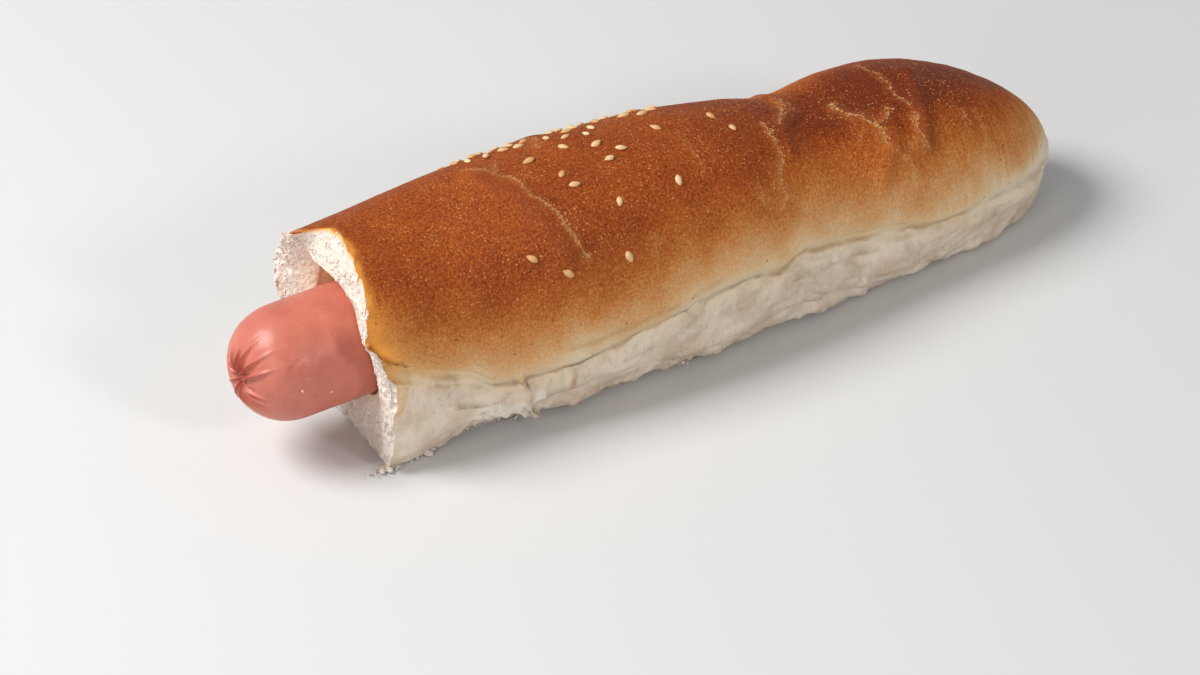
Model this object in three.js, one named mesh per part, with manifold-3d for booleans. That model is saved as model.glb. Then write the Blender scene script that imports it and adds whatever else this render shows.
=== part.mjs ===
// A hot dog made the French way: a long soft bun with a deep pocket in its torn end,
// and a smooth sausage that stands out of the pocket. Millimetres, +Z up, +X along the bun,
// from the torn end to the closed one. The bun rests on its flat base.
import * as THREE from "three";
import { mergeVertices } from "three/addons/utils/BufferGeometryUtils.js";
import Module from "manifold-3d";

const wasm = await Module();
wasm.setup();

// Driving dimensions
const overallLength = 223.4; // sausage tip to the bun's closed end
const sausageReach = 26.6; // how far the sausage stands out of the torn end
const sausageLength = 150;
const sausageRadius = 13.5;
const sausageHeight = 24.3; // axis above the base
const sausageShift = 0.4; // axis beside the bun's middle
const domeStart = 160; // where the closed end starts to round, from the torn end
const bunLength = overallLength - sausageReach;
const domePower = 2.6; // bluntness of that end
const crownPower = 2.35; // roundness of the section above its middle
const basePower = 2.7; // and below it
const baseDrop = 9; // how far the section's curve would reach under the base
const baseRound = 2.4; // rounding where side and base meet
const middleShare = 0.44; // height of the section's middle, as a share of the crest

// The loaf along its length: place, crest height, width, sideways bend
const stations = [
  { x: -12, crest: 50.0, width: 49, bend: 1.5 },
  { x: 0, crest: 50.0, width: 50, bend: 1.5 },
  { x: 20, crest: 49.6, width: 53, bend: 2.8 },
  { x: 45, crest: 51.8, width: 56, bend: 1.3 },
  { x: 70, crest: 51.6, width: 56, bend: 0.1 },
  { x: 95, crest: 49.6, width: 55, bend: -0.4 },
  { x: 115, crest: 45.0, width: 53, bend: 0 },
  { x: 128, crest: 41.6, width: 51, bend: 0 },
  { x: 146, crest: 42.0, width: 51, bend: 0.8 },
  { x: 162, crest: 40.2, width: 49.5, bend: 1.2 },
  { x: 182, crest: 34.5, width: 44, bend: -0.4 },
  { x: 200, crest: 29.0, width: 38, bend: -2.0 },
];

// The torn edge of the crust: angle round the section in degrees, 0 at the back,
// 90 at the crest, 180 at the front, 270 at the base, and how far along X it lies
const tornEdge = [
  [-40, 3], [0, 2], [25, 1], [45, -0.5], [60, -1.5], [68, -0.5], [77, 3.4], [97, 2.6], [114, 0.4],
  [130, -2.2], [146, -5], [156, -1.5], [176, 1.7], [200, 0.6], [226, 0.5], [270, 4],
];

// The pocket's mouth in the crumb: angle round the sausage in degrees, and place along X
const mouthEdge = [
  [-30, 2], [5, 1.5], [30, 3.5], [52, 3], [74, 0], [96, 0.5], [115, 0.8], [140, -0.3], [180, 1.5],
  [225, 4], [270, 6],
];
const pocketClearance = 0.55; // between sausage and crumb
const pocketSpare = 4; // the pocket runs on a little past the sausage
const mouthLift = 4.6; // the mouth stands open above the sausage
const mouthLiftAngle = 64;
const mouthLiftSpread = 38;
const mouthLiftDepth = 5; // and closes on it over this depth

// The soft fold between crust and base band: place along X and height
const foldLine = [
  [0, 29], [9, 24], [20, 20], [27, 15.5], [45, 15.5], [67, 18], [80, 21], [95, 22],
  [104, 20.5], [112, 22], [134, 18.5], [150, 14.5], [170, 14.5], [197, 12.5],
];
const foldDepth = 1.5;
const foldWidth = 1.5;
const lipHeight = 0.8; // the crust swells a little above the fold
const lipOffset = 4;
const lipWidth = 3;
const foldColumnSpread = 40; // degrees over which the columns shift to meet the fold

// Mesh counts
const columns = 52;
const domeRings = 11;
const bodyRings = 27;
const faceRings = 4;
const pocketRings = 12;
const pocketEndRings = 3;
const sausageColumns = 44;
const sausageEndRings = 11;
const sausageBodyRings = 6;

// Sesame seeds
const seedLength = 3.1;
const seedWidth = 1.9;
const seedThickness = 1.1;
const seedLift = 0.22;
const seedCount = 92;
// The sprinkled band along the crest, between two places along X, thickest round an angle
const seedField = { x0: 42, x1: 97, angle: 48, spread: 15, frontLimit: 66, spacing: 3.4 };
// Seeds that lie apart: place along X, angle round the section, heading in degrees
const straySeeds = [
  [39.7, 135.5, 135], [46.9, 146.6, 140], [62.7, 148.2, -70], [65.6, 123.6, -115], [82.1, 122.2, -100],
  [58.4, 108.6, -10], [57.7, 100.1, 45], [70.6, 99.2, -170], [71.5, 85.8, 20], [75.5, 94.3, -25],
  [64.3, 80.9, -55], [54.1, 83.7, -175], [57.1, 66.1, 10], [72.4, 74.3, 105], [87.7, 85.6, 125],
  [103.7, 84.4, -75], [105.5, 98.3, -100], [67.9, 71.3, 10], [75.5, 68.7, 105], [90.2, 67.1, 5],
];

const radian = Math.PI / 180;
const bell = (value, width) => Math.exp(-((value / width) ** 2));

// A smooth line through [place, value] pairs
function through(pairs, at) {
  const last = pairs.length - 1;
  const place = Math.min(Math.max(at, pairs[0][0]), pairs[last][0]);
  let i = 0;
  while (i < last - 1 && place > pairs[i + 1][0]) i += 1;
  const slope = (k) => {
    const a = pairs[Math.max(k - 1, 0)];
    const b = pairs[Math.min(k + 1, last)];
    return (b[1] - a[1]) / (b[0] - a[0]);
  };
  const step = pairs[i + 1][0] - pairs[i][0];
  const t = (place - pairs[i][0]) / step;
  const ease = t * t * (3 - 2 * t);
  const rise = t * (1 - t) * (1 - t) * step * slope(i);
  const fall = t * t * (t - 1) * step * slope(i + 1);
  return pairs[i][1] * (1 - ease) + pairs[i + 1][1] * ease + rise + fall;
}

// The same for a closed line over 360 degrees
function around(pairs, degrees) {
  const turn = ((degrees % 360) + 360) % 360;
  const at = turn > pairs[pairs.length - 1][0] ? turn - 360 : turn;
  const last = pairs[pairs.length - 1];
  return through([[last[0] - 360, last[1]], ...pairs], at);
}

const along = (key, x) => through(stations.map((s) => [s.x, s[key]]), x);

// Height with the base made flat at zero and a small rounding at its edge
function onBase(z) {
  if (z <= -baseRound) return 0;
  if (z >= baseRound) return z;
  return (z + baseRound) ** 2 / (4 * baseRound);
}

// Radius of the bare section at an angle
function sectionRadius(x, angle) {
  const crest = along("crest", x);
  const middle = middleShare * crest;
  const up = Math.sin(angle) > 0;
  const rise = up ? crest - middle : middle + baseDrop;
  const power = up ? crownPower : basePower;
  const across = Math.abs((2 * Math.cos(angle)) / along("width", x)) ** power;
  const upright = Math.abs(Math.sin(angle) / rise) ** power;
  return (across + upright) ** (-1 / power);
}

// Angle of the fold at the front, in degrees round the section
function foldAngle(x) {
  const middle = middleShare * along("crest", x);
  const drop = through(foldLine, x) - middle;
  return 180 - Math.atan2(drop, along("width", x) / 2) / radian;
}

// Fold and lip: how far the surface moves out, at an arc distance above the fold
function foldRelief(arc) {
  return lipHeight * bell(arc - lipOffset, lipWidth) - foldDepth * bell(arc, foldWidth);
}

// A point of the bun's skin. scale shrinks the section towards the closed end.
function skin(x, degrees, scale) {
  const angle = degrees * radian;
  const crest = along("crest", x);
  const middle = middleShare * crest;
  const bare = sectionRadius(x, angle);
  const front = foldAngle(x);
  const frontArc = (front - degrees) * radian * bare;
  const backArc = (degrees - (180 - front)) * radian * bare;
  const relief = foldRelief(frontArc) + foldRelief(backArc);
  const radius = scale * (bare + relief * scale);
  return new THREE.Vector3(
    x,
    along("bend", x) + radius * Math.cos(angle),
    onBase(middle + radius * Math.sin(angle)),
  );
}

// Column angles, shifted so that one column runs along each fold
function columnDegrees(turn, x) {
  const degrees = -90 + 360 * turn;
  const shift = foldAngle(x) - 180;
  return degrees + shift * (bell(degrees - 180, foldColumnSpread) - bell(degrees, foldColumnSpread));
}

// A point of the pocket's wall, at a depth from its mouth
function pocketWall(turn, x, scale, depth) {
  const degrees = -90 + 360 * turn;
  const lift = mouthLift * bell(degrees - mouthLiftAngle, mouthLiftSpread) * bell(depth, mouthLiftDepth);
  const radius = scale * (sausageRadius + pocketClearance + lift);
  const angle = degrees * radian;
  return new THREE.Vector3(
    x,
    sausageShift + radius * Math.cos(angle),
    sausageHeight + radius * Math.sin(angle),
  );
}

const pocketEnd = sausageLength - sausageReach + pocketSpare;
const pocketRoundStart = pocketEnd - sausageRadius;

// Rings from the closed end over the skin to the torn edge, across the torn face, and down the pocket
const rings = [];
for (let k = 0; k < domeRings; k += 1) {
  const swing = (Math.PI / 2) * (1 - k / domeRings);
  const reach = Math.sin(swing) ** (2 / domePower);
  const scale = k === 0 ? 0 : Math.cos(swing) ** (2 / domePower);
  const x = domeStart + (bunLength - domeStart) * reach;
  rings.push((turn) => skin(x, columnDegrees(turn, x), scale));
}
for (let k = 0; k <= bodyRings; k += 1) {
  const share = k / bodyRings;
  rings.push((turn) => {
    const straight = domeStart * (1 - share);
    const degrees = columnDegrees(turn, straight);
    const x = straight + share * around(tornEdge, degrees);
    return skin(x, degrees, 1);
  });
}
const tornPoint = rings[rings.length - 1];
const mouthPoint = (turn) => pocketWall(turn, around(mouthEdge, -90 + 360 * turn), 1, 0);
for (let k = 1; k <= faceRings; k += 1) {
  rings.push((turn) => tornPoint(turn).lerp(mouthPoint(turn), k / faceRings));
}
for (let k = 1; k <= pocketRings; k += 1) {
  const share = k / pocketRings;
  rings.push((turn) => {
    const start = around(mouthEdge, -90 + 360 * turn);
    const x = start + (pocketRoundStart - start) * share;
    return pocketWall(turn, x, 1, x - start);
  });
}
for (let k = 1; k <= pocketEndRings; k += 1) {
  const swing = (Math.PI / 2) * (k / pocketEndRings);
  const x = pocketRoundStart + sausageRadius * Math.sin(swing);
  const scale = k === pocketEndRings ? 0 : Math.cos(swing);
  rings.push((turn) => pocketWall(turn, x, scale, x));
}

// A lathed blank whose rings and columns are moved to the points that place() gives
function lathed(ringCount, columnCount, place) {
  const blank = [];
  for (let k = 0; k < ringCount; k += 1) {
    const swing = (Math.PI * k) / (ringCount - 1);
    blank.push(new THREE.Vector2(k === ringCount - 1 ? 0 : Math.sin(swing), -Math.cos(swing)));
  }
  const geometry = new THREE.LatheGeometry(blank, columnCount);
  const position = geometry.getAttribute("position");
  for (let i = 0; i < position.count; i += 1) {
    const ring = i % ringCount;
    const column = Math.floor(i / ringCount);
    const point = place(ring, ((columnCount - column) % columnCount) / columnCount);
    position.setXYZ(i, point.x, point.y, point.z);
  }
  return geometry;
}

function solid(geometry) {
  const bare = geometry.clone();
  bare.deleteAttribute("normal");
  bare.deleteAttribute("uv");
  const merged = mergeVertices(bare, 1e-5);
  const corners = merged.getIndex().array;
  const places = merged.getAttribute("position").array;
  const kept = [];
  for (let i = 0; i < corners.length; i += 3) {
    const [a, b, c] = [corners[i], corners[i + 1], corners[i + 2]];
    if (a !== b && b !== c && c !== a) kept.push(a, b, c);
  }
  const mesh = new wasm.Mesh({
    numProp: 3,
    vertProperties: new Float32Array(places),
    triVerts: new Uint32Array(kept),
  });
  return new wasm.Manifold(mesh);
}

function geometryOf(manifold) {
  const mesh = manifold.getMesh();
  const geometry = new THREE.BufferGeometry();
  geometry.setAttribute("position", new THREE.BufferAttribute(new Float32Array(mesh.vertProperties), 3));
  geometry.setIndex(new THREE.BufferAttribute(new Uint32Array(mesh.triVerts), 1));
  geometry.computeVertexNormals();
  return geometry;
}

// Seeded random numbers, the same on every run
let randomState = 20517;
function random() {
  randomState = (randomState * 1664525 + 1013904223) % 4294967296;
  return randomState / 4294967296;
}

// A place on the skin: the point, the direction along X there, and the way out
function skinFrame(x, degrees) {
  const point = skin(x, degrees, 1);
  const alongX = skin(x + 1, degrees, 1).sub(skin(x - 1, degrees, 1)).normalize();
  const upRound = skin(x, degrees + 2, 1).sub(skin(x, degrees - 2, 1)).normalize();
  const out = new THREE.Vector3().crossVectors(upRound, alongX).normalize();
  return { point, alongX, out };
}

function seedBody(x, degrees, heading) {
  const { point, alongX, out } = skinFrame(x, degrees);
  const long = alongX.clone().applyAxisAngle(out, heading);
  const side = new THREE.Vector3().crossVectors(long, out).normalize();
  const seed = new THREE.SphereGeometry(0.5, 6, 4);
  seed.scale(seedWidth, seedLength, seedThickness);
  const middle = point.clone().addScaledVector(out, seedThickness * seedLift);
  seed.applyMatrix4(new THREE.Matrix4().makeBasis(side, long, out).setPosition(middle));
  return solid(seed);
}

function seedPlaces() {
  const places = straySeeds.map(([x, degrees, heading]) => ({ x, degrees, heading: heading * radian }));
  const clear = (x, degrees) => {
    const here = skin(x, degrees, 1);
    return places.every((p) => skin(p.x, p.degrees, 1).distanceTo(here) > seedField.spacing);
  };
  for (let tries = 0; places.length < seedCount && tries < 4000; tries += 1) {
    const x = seedField.x0 + (seedField.x1 - seedField.x0) * random();
    const wander = (random() + random() + random() - 1.5) * 2 * seedField.spread;
    const degrees = seedField.angle + wander;
    const heading = 2 * Math.PI * random();
    if (degrees < seedField.frontLimit && clear(x, degrees)) places.push({ x, degrees, heading });
  }
  return places;
}

function makeBun() {
  let bun = solid(lathed(rings.length, columns, (ring, turn) => rings[ring](turn)));
  for (const { x, degrees, heading } of seedPlaces()) {
    bun = bun.add(seedBody(x, degrees, heading));
  }
  const material = new THREE.MeshStandardMaterial({ color: "#a85c2a", roughness: 0.6, metalness: 0 });
  const mesh = new THREE.Mesh(geometryOf(bun), material);
  mesh.name = "bun";
  return mesh;
}

// The sausage's ends: a round nose with a small dimple where the casing was gathered,
// and shallow folds that run out from it
const dimpleDepth = 2.2;
const dimpleWidth = 2.6;
const gatherFolds = 11;
const gatherDepth = 0.7;
const gatherReach = 7;
const nosePower = 2.15;

// The nose from its pole to the full radius: how wide, and how far behind the tip
function noseProfile() {
  const profile = [];
  for (let k = 0; k <= sausageEndRings; k += 1) {
    const swing = (Math.PI / 2) * (k / sausageEndRings);
    const radius = k === 0 ? 0 : sausageRadius * Math.sin(swing) ** (2 / nosePower);
    const depth = sausageRadius * (1 - Math.cos(swing) ** (2 / nosePower));
    profile.push({ radius, depth: depth + dimpleDepth * bell(radius, dimpleWidth) });
  }
  return profile;
}

function sausageRings() {
  const nose = noseProfile();
  const tip = -sausageReach;
  const tail = sausageLength - sausageReach;
  const outline = nose.map(({ radius, depth }) => ({ radius, x: tail - depth }));
  const from = outline[outline.length - 1].x;
  const to = tip + nose[nose.length - 1].depth;
  for (let k = 1; k < sausageBodyRings; k += 1) {
    outline.push({ radius: sausageRadius, x: from + ((to - from) * k) / sausageBodyRings });
  }
  for (const { radius, depth } of nose.reverse()) outline.push({ radius, x: tip + depth });
  return outline;
}

function makeSausage() {
  const outline = sausageRings();
  const place = (ring, turn) => {
    const { radius, x } = outline[ring];
    const angle = 2 * Math.PI * turn - Math.PI / 2;
    const fold = gatherDepth * bell(radius - gatherReach / 2, gatherReach / 2);
    const r = radius === 0 ? 0 : radius - fold * (1 - Math.cos(gatherFolds * angle));
    return new THREE.Vector3(
      x,
      sausageShift + r * Math.cos(angle),
      sausageHeight + r * Math.sin(angle),
    );
  };
  const geometry = geometryOf(solid(lathed(outline.length, sausageColumns, place)));
  const material = new THREE.MeshStandardMaterial({ color: "#d8806c", roughness: 0.4, metalness: 0 });
  const mesh = new THREE.Mesh(geometry, material);
  mesh.name = "sausage";
  return mesh;
}

const hotDog = new THREE.Group();
hotDog.add(makeBun(), makeSausage());

// The origin goes under the middle of the whole, on the base
const middle = new THREE.Box3().setFromObject(hotDog, true).getCenter(new THREE.Vector3());
hotDog.position.set(-middle.x, -middle.y, 0);

export default hotDog;
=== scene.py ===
import math

import bmesh
import bpy
import numpy as np
from mathutils import Matrix, Vector


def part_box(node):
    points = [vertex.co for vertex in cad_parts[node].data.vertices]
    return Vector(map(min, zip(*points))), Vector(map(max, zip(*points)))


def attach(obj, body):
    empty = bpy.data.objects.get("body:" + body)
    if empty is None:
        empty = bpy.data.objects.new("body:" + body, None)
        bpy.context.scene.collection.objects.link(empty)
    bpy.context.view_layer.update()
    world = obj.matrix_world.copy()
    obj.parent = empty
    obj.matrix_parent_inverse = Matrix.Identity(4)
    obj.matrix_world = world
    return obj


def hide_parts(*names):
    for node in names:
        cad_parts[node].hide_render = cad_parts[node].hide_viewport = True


# A soft bun with a torn open end and a sausage in its pocket.
# Shapes are worked out in millimetres in the bun's own numbers: x from the torn end along the bun,
# y across it, z up from the base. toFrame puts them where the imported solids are, in metres.

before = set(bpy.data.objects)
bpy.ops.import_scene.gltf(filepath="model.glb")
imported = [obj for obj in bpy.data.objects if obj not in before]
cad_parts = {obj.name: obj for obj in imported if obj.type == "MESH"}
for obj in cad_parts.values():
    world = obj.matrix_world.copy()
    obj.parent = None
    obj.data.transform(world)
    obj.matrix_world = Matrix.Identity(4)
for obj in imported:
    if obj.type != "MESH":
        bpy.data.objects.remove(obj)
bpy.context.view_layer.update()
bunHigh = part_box("bun")[1]
sausageLow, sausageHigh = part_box("sausage")

millimetre = 0.001
radian = math.pi / 180

loaf = {
    "length": 196.8,          # torn edge to the closed end
    "domeStart": 160.0,       # where the closed end starts to round
    "domePower": 2.6,
    "crownPower": 2.35,       # roundness of the section above its middle
    "basePower": 2.7,         # and below it
    "baseDrop": 9.0,
    "baseRound": 2.4,
    "middleShare": 0.44,
    # place along the bun, crest height, width, sideways bend
    "stations": [
        (-12, 50.0, 49, 1.5), (0, 50.0, 50, 1.5), (20, 49.6, 53, 2.8), (45, 51.8, 56, 1.3),
        (70, 51.6, 56, 0.1), (95, 49.6, 55, -0.4), (115, 45.0, 53, 0.0), (128, 41.6, 51, 0.0),
        (146, 42.0, 51, 0.8), (162, 40.2, 49.5, 1.2), (182, 34.5, 44, -0.4), (200, 29.0, 38, -2.0),
    ],
    # angle round the section (0 back, 90 crest, 180 front, 270 base) and place of the torn edge
    "tornEdge": [
        (-40, 3), (0, 2), (25, 1), (45, -0.5), (60, -1.5), (68, -0.5), (77, 3.4), (97, 2.6), (114, 0.4),
        (130, -2.2), (146, -5), (156, -1.5), (176, 1.7), (200, 0.6), (226, 0.5), (270, 4),
    ],
    # height of the fold between crust and base band
    "foldLine": [
        (0, 29), (9, 24), (20, 20), (27, 15.5), (45, 15.5), (67, 18), (80, 21), (95, 22),
        (104, 20.5), (112, 22), (134, 18.5), (150, 14.5), (170, 14.5), (197, 12.5),
    ],
    "foldDepth": 1.5,
    "foldWidth": 1.5,
    "lipHeight": 0.8,
    "lipOffset": 4.0,
    "lipWidth": 3.0,
    "foldSpread": 40.0,       # degrees over which the mesh columns shift to meet the fold
}

pocket = {
    "radius": 14.05,
    "lift": 4.6,              # the mouth stands open above the sausage
    "liftAngle": 64.0,
    "liftSpread": 38.0,
    "liftDepth": 5.0,
    "end": 127.4,
    # angle round the sausage and place of the mouth's edge
    "mouthEdge": [
        (-30, 2), (5, 1.5), (30, 3.5), (52, 3), (74, 0), (96, 0.5), (115, 0.8), (140, -0.3),
        (180, 1.5), (225, 4), (270, 6),
    ],
}

sausage = {
    "radius": 13.5,
    "length": 150.0,
    "reach": 26.6,            # how far it stands out of the bun
    "height": 24.3,
    "shift": 0.4,
    "nosePower": 2.15,
    "dimpleDepth": 2.2,
    "dimpleWidth": 2.6,
}

frameShift = Vector((
    bunHigh.x / millimetre - loaf["length"],
    (sausageLow.y + sausageHigh.y) / 2 / millimetre - sausage["shift"],
    0.0,
))


def toFrame(points):
    return (points + np.array(frameShift)) * millimetre


def bell(value, width):
    return np.exp(-((value / width) ** 2))


def smoothStep(low, high, value):
    t = np.clip((value - low) / (high - low), 0, 1)
    return t * t * (3 - 2 * t)


def turnFrom(degrees, angle):     # signed angle between two directions, -180 to 180
    return np.mod(degrees - angle + 180, 360) - 180


def through(pairs, at):       # a smooth line through (place, value) pairs
    places = np.array([p[0] for p in pairs], float)
    values = np.array([p[1] for p in pairs], float)
    slope = np.empty(len(places))
    slope[1:-1] = (values[2:] - values[:-2]) / (places[2:] - places[:-2])
    slope[0] = (values[1] - values[0]) / (places[1] - places[0])
    slope[-1] = (values[-1] - values[-2]) / (places[-1] - places[-2])
    place = np.clip(at, places[0], places[-1])
    before = np.clip(np.searchsorted(places, place, side="left") - 1, 0, len(places) - 2)
    step = places[before + 1] - places[before]
    t = (place - places[before]) / step
    ease = t * t * (3 - 2 * t)
    rise = t * (1 - t) ** 2 * step * slope[before]
    fall = t * t * (t - 1) * step * slope[before + 1]
    return values[before] * (1 - ease) + values[before + 1] * ease + rise + fall


def around(pairs, degrees):   # the same for a closed line
    turn = np.mod(degrees, 360.0)
    last = pairs[-1]
    turn = np.where(turn > last[0], turn - 360.0, turn)
    return through([(last[0] - 360.0, last[1])] + list(pairs), turn)


stationPairs = {
    "crest": [(s[0], s[1]) for s in loaf["stations"]],
    "width": [(s[0], s[2]) for s in loaf["stations"]],
    "bend": [(s[0], s[3]) for s in loaf["stations"]],
}

# Seeded value noise: the same on every run
noiseCells = 32
noiseSeed = 4127
noiseLattice = np.random.default_rng(noiseSeed).random((noiseCells, noiseCells, noiseCells)) * 2 - 1


def softNoise(points, size, offset=0.0):      # -1 to 1, with features of about size millimetres
    p = points / size + offset
    cell = np.floor(p).astype(int)
    t = p - cell
    t = t * t * (3 - 2 * t)
    total = 0
    for dx in (0, 1):
        for dy in (0, 1):
            for dz in (0, 1):
                weight = (t[..., 0] if dx else 1 - t[..., 0])
                weight = weight * (t[..., 1] if dy else 1 - t[..., 1])
                weight = weight * (t[..., 2] if dz else 1 - t[..., 2])
                corner = (cell + (dx, dy, dz)) % noiseCells
                total = total + weight * noiseLattice[corner[..., 0], corner[..., 1], corner[..., 2]]
    return total


def layeredNoise(points, size, layers=3, offset=0.0):
    total = 0
    for k in range(layers):
        total = total + softNoise(points, size / 2 ** k, offset + 7.3 * k) / 2 ** k
    return total


def onBase(z):                # flat base with a small rounding at its edge
    r = loaf["baseRound"]
    return np.where(z <= -r, 0, np.where(z >= r, z, (z + r) ** 2 / (4 * r)))


def sectionRadius(x, angle):
    crest = through(stationPairs["crest"], x)
    middle = loaf["middleShare"] * crest
    up = np.sin(angle) > 0
    rise = np.where(up, crest - middle, middle + loaf["baseDrop"])
    power = np.where(up, loaf["crownPower"], loaf["basePower"])
    across = np.abs(2 * np.cos(angle) / through(stationPairs["width"], x)) ** power
    upright = np.abs(np.sin(angle) / rise) ** power
    return (across + upright) ** (-1 / power)


def foldAngle(x):
    middle = loaf["middleShare"] * through(stationPairs["crest"], x)
    drop = through(loaf["foldLine"], x) - middle
    return 180 - np.arctan2(drop, through(stationPairs["width"], x) / 2) / radian


def foldRelief(arc):
    lip = loaf["lipHeight"] * bell(arc - loaf["lipOffset"], loaf["lipWidth"])
    return lip - loaf["foldDepth"] * bell(arc, loaf["foldWidth"])


def foldArcs(x, degrees):     # arc distance above the fold, at the front and at the back
    bare = sectionRadius(x, degrees * radian)
    front = foldAngle(x)
    return (front - degrees) * radian * bare, (degrees - (180 - front)) * radian * bare


def skinPoint(x, degrees, scale=1.0):
    angle = degrees * radian
    middle = loaf["middleShare"] * through(stationPairs["crest"], x)
    frontArc, backArc = foldArcs(x, degrees)
    relief = foldRelief(frontArc) + foldRelief(backArc)
    radius = scale * (sectionRadius(x, angle) + relief * scale)
    y = through(stationPairs["bend"], x) + radius * np.cos(angle)
    z = onBase(middle + radius * np.sin(angle))
    return np.stack([x + 0 * y, y, z], -1)


def columnDegrees(turn, x):
    degrees = -90 + 360 * turn
    shift = foldAngle(x) - 180
    spread = loaf["foldSpread"]
    return degrees + shift * (bell(degrees - 180, spread) - bell(degrees, spread))


def aroundSausage(x, degrees, radius):    # a place at this radius from the sausage's middle line
    y = sausage["shift"] + radius * np.cos(degrees * radian)
    z = sausage["height"] + radius * np.sin(degrees * radian)
    return np.stack([x + 0 * y, y, z], -1)


def clearSausage(points, gap, here=True):     # moves points in place, out of the sausage's body
    y = points[..., 1] - sausage["shift"]
    z = points[..., 2] - sausage["height"]
    radius = np.maximum(np.sqrt(y * y + z * z), 1e-6)
    push = np.where(here, np.maximum(1.0, (sausage["radius"] + gap) / radius), 1.0)
    points[..., 1] = sausage["shift"] + y * push
    points[..., 2] = sausage["height"] + z * push


def pocketPoint(degrees, x, scale, depth):
    lift = pocket["lift"] * bell(degrees - pocket["liftAngle"], pocket["liftSpread"])
    radius = scale * (pocket["radius"] + lift * bell(depth, pocket["liftDepth"]))
    return aroundSausage(x, degrees, radius)


def onSkin(places):           # (x, degrees) pairs as points on the skin
    pairs = np.array(places, float)
    return skinPoint(pairs[:, 0], pairs[:, 1])


def lineDistance(points, line):
    best = np.full(points.shape[:-1], 1e3)
    for start, end in zip(line[:-1], line[1:]):
        way = end - start
        t = np.clip(((points - start) @ way) / (way @ way), 0, 1)
        gap = np.linalg.norm(points - start - t[..., None] * way, axis=-1)
        best = np.minimum(best, gap)
    return best


def gridNormals(grid, outward):
    along = np.gradient(grid, axis=0)
    across = np.roll(grid, -1, axis=1) - np.roll(grid, 1, axis=1)
    normal = np.cross(along, across) * outward
    length = np.linalg.norm(normal, axis=-1, keepdims=True)
    return normal / np.maximum(length, 1e-9)


def gridFaces(rings, columns, flip=False):
    ring, column = np.meshgrid(np.arange(rings - 1), np.arange(columns), indexing="ij")
    after = (column + 1) % columns
    near = ring * columns
    far = near + columns
    quads = np.stack([near + column, near + after, far + after, far + column], -1).reshape(-1, 4)
    return quads[:, ::-1] if flip else quads


def fan(pole, first, columns, flip=False):    # triangles from a pole to the ring that starts at first
    here = first + np.arange(columns)
    after = first + (np.arange(columns) + 1) % columns
    ring = (after, here) if flip else (here, after)
    return np.stack([np.full(columns, pole), *ring], -1)


def makeMesh(name, points, quads, triangles=None, attributes=None):
    mesh = bpy.data.meshes.new(name)
    triangles = np.zeros((0, 3), int) if triangles is None else triangles
    corners = np.concatenate([quads.reshape(-1), triangles.reshape(-1)]).astype(np.int32)
    sizes = np.concatenate([np.full(len(quads), 4), np.full(len(triangles), 3)]).astype(np.int32)
    mesh.vertices.add(len(points))
    mesh.vertices.foreach_set("co", toFrame(points).astype(np.float32).ravel())
    mesh.loops.add(len(corners))
    mesh.loops.foreach_set("vertex_index", corners)
    mesh.polygons.add(len(sizes))
    mesh.polygons.foreach_set("loop_start", np.concatenate([[0], np.cumsum(sizes)[:-1]]).astype(np.int32))
    mesh.polygons.foreach_set("loop_total", sizes)
    mesh.polygons.foreach_set("use_smooth", np.ones(len(sizes), bool))
    mesh.update(calc_edges=True)
    mesh.validate()
    for key, values in (attributes or {}).items():
        layer = mesh.attributes.new(key, "FLOAT", "POINT")
        layer.data.foreach_set("value", np.asarray(values, np.float32).ravel())
    piece = bpy.data.objects.new(name, mesh)
    bpy.context.scene.collection.objects.link(piece)
    return piece


def hexColor(text):           # sRGB hex to linear
    channels = [int(text[i:i + 2], 16) / 255 for i in (1, 3, 5)]
    linear = [c / 12.92 if c <= 0.04045 else ((c + 0.055) / 1.055) ** 2.4 for c in channels]
    return (*linear, 1.0)


def addNode(tree, kind, settings=None, inputs=None, output=0):
    # an input is a plain value or the output socket that feeds it, and one of the outputs is given back
    node = tree.nodes.new(kind)
    for key, value in (settings or {}).items():
        setattr(node, key, value)
    for key, value in (inputs or {}).items():
        if isinstance(value, bpy.types.NodeSocket):
            tree.links.new(value, node.inputs[key])
        else:
            node.inputs[key].default_value = value
    return node.outputs[output] if node.outputs else None


colorMix = {"data_type": "RGBA"}      # the mixed colour is its third output
product = {"operation": "MULTIPLY"}


def patternScale(size):       # texture scale for features of size millimetres
    return 1 / (size * millimetre)


def newMaterial(name):
    material = bpy.data.materials.new(name)
    material.use_nodes = True
    tree = material.node_tree
    tree.nodes.clear()
    return material, tree


def setRamp(color, stops):    # color is the ramp's output
    elements = color.node.color_ramp.elements
    while len(elements) > 1:
        elements.remove(elements[-1])
    elements[0].position = stops[0][0]
    elements[0].color = hexColor(stops[0][1])
    for place, shade in stops[1:]:
        elements.new(place).color = hexColor(shade)


def dress(piece, material, slot, *nodes):
    piece.data.materials.append(material)
    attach(piece, "root")
    if nodes:
        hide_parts(*nodes)
    return piece


# Crust: the baked skin, from the closed end to the torn edge

crustMesh = {
    "columns": 330,
    "domeRings": 52,
    "bodyRings": 246,
    "crestDensity": 0.35,     # columns closer together on the crest than under the base
    "ragged": 0.7,            # how far the torn edge wanders
    "hookReach": 4.2,         # the crust's torn tip at the crest
    "hookAngle": 64.0,
    "hookSpread": 4.0,
}

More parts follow.
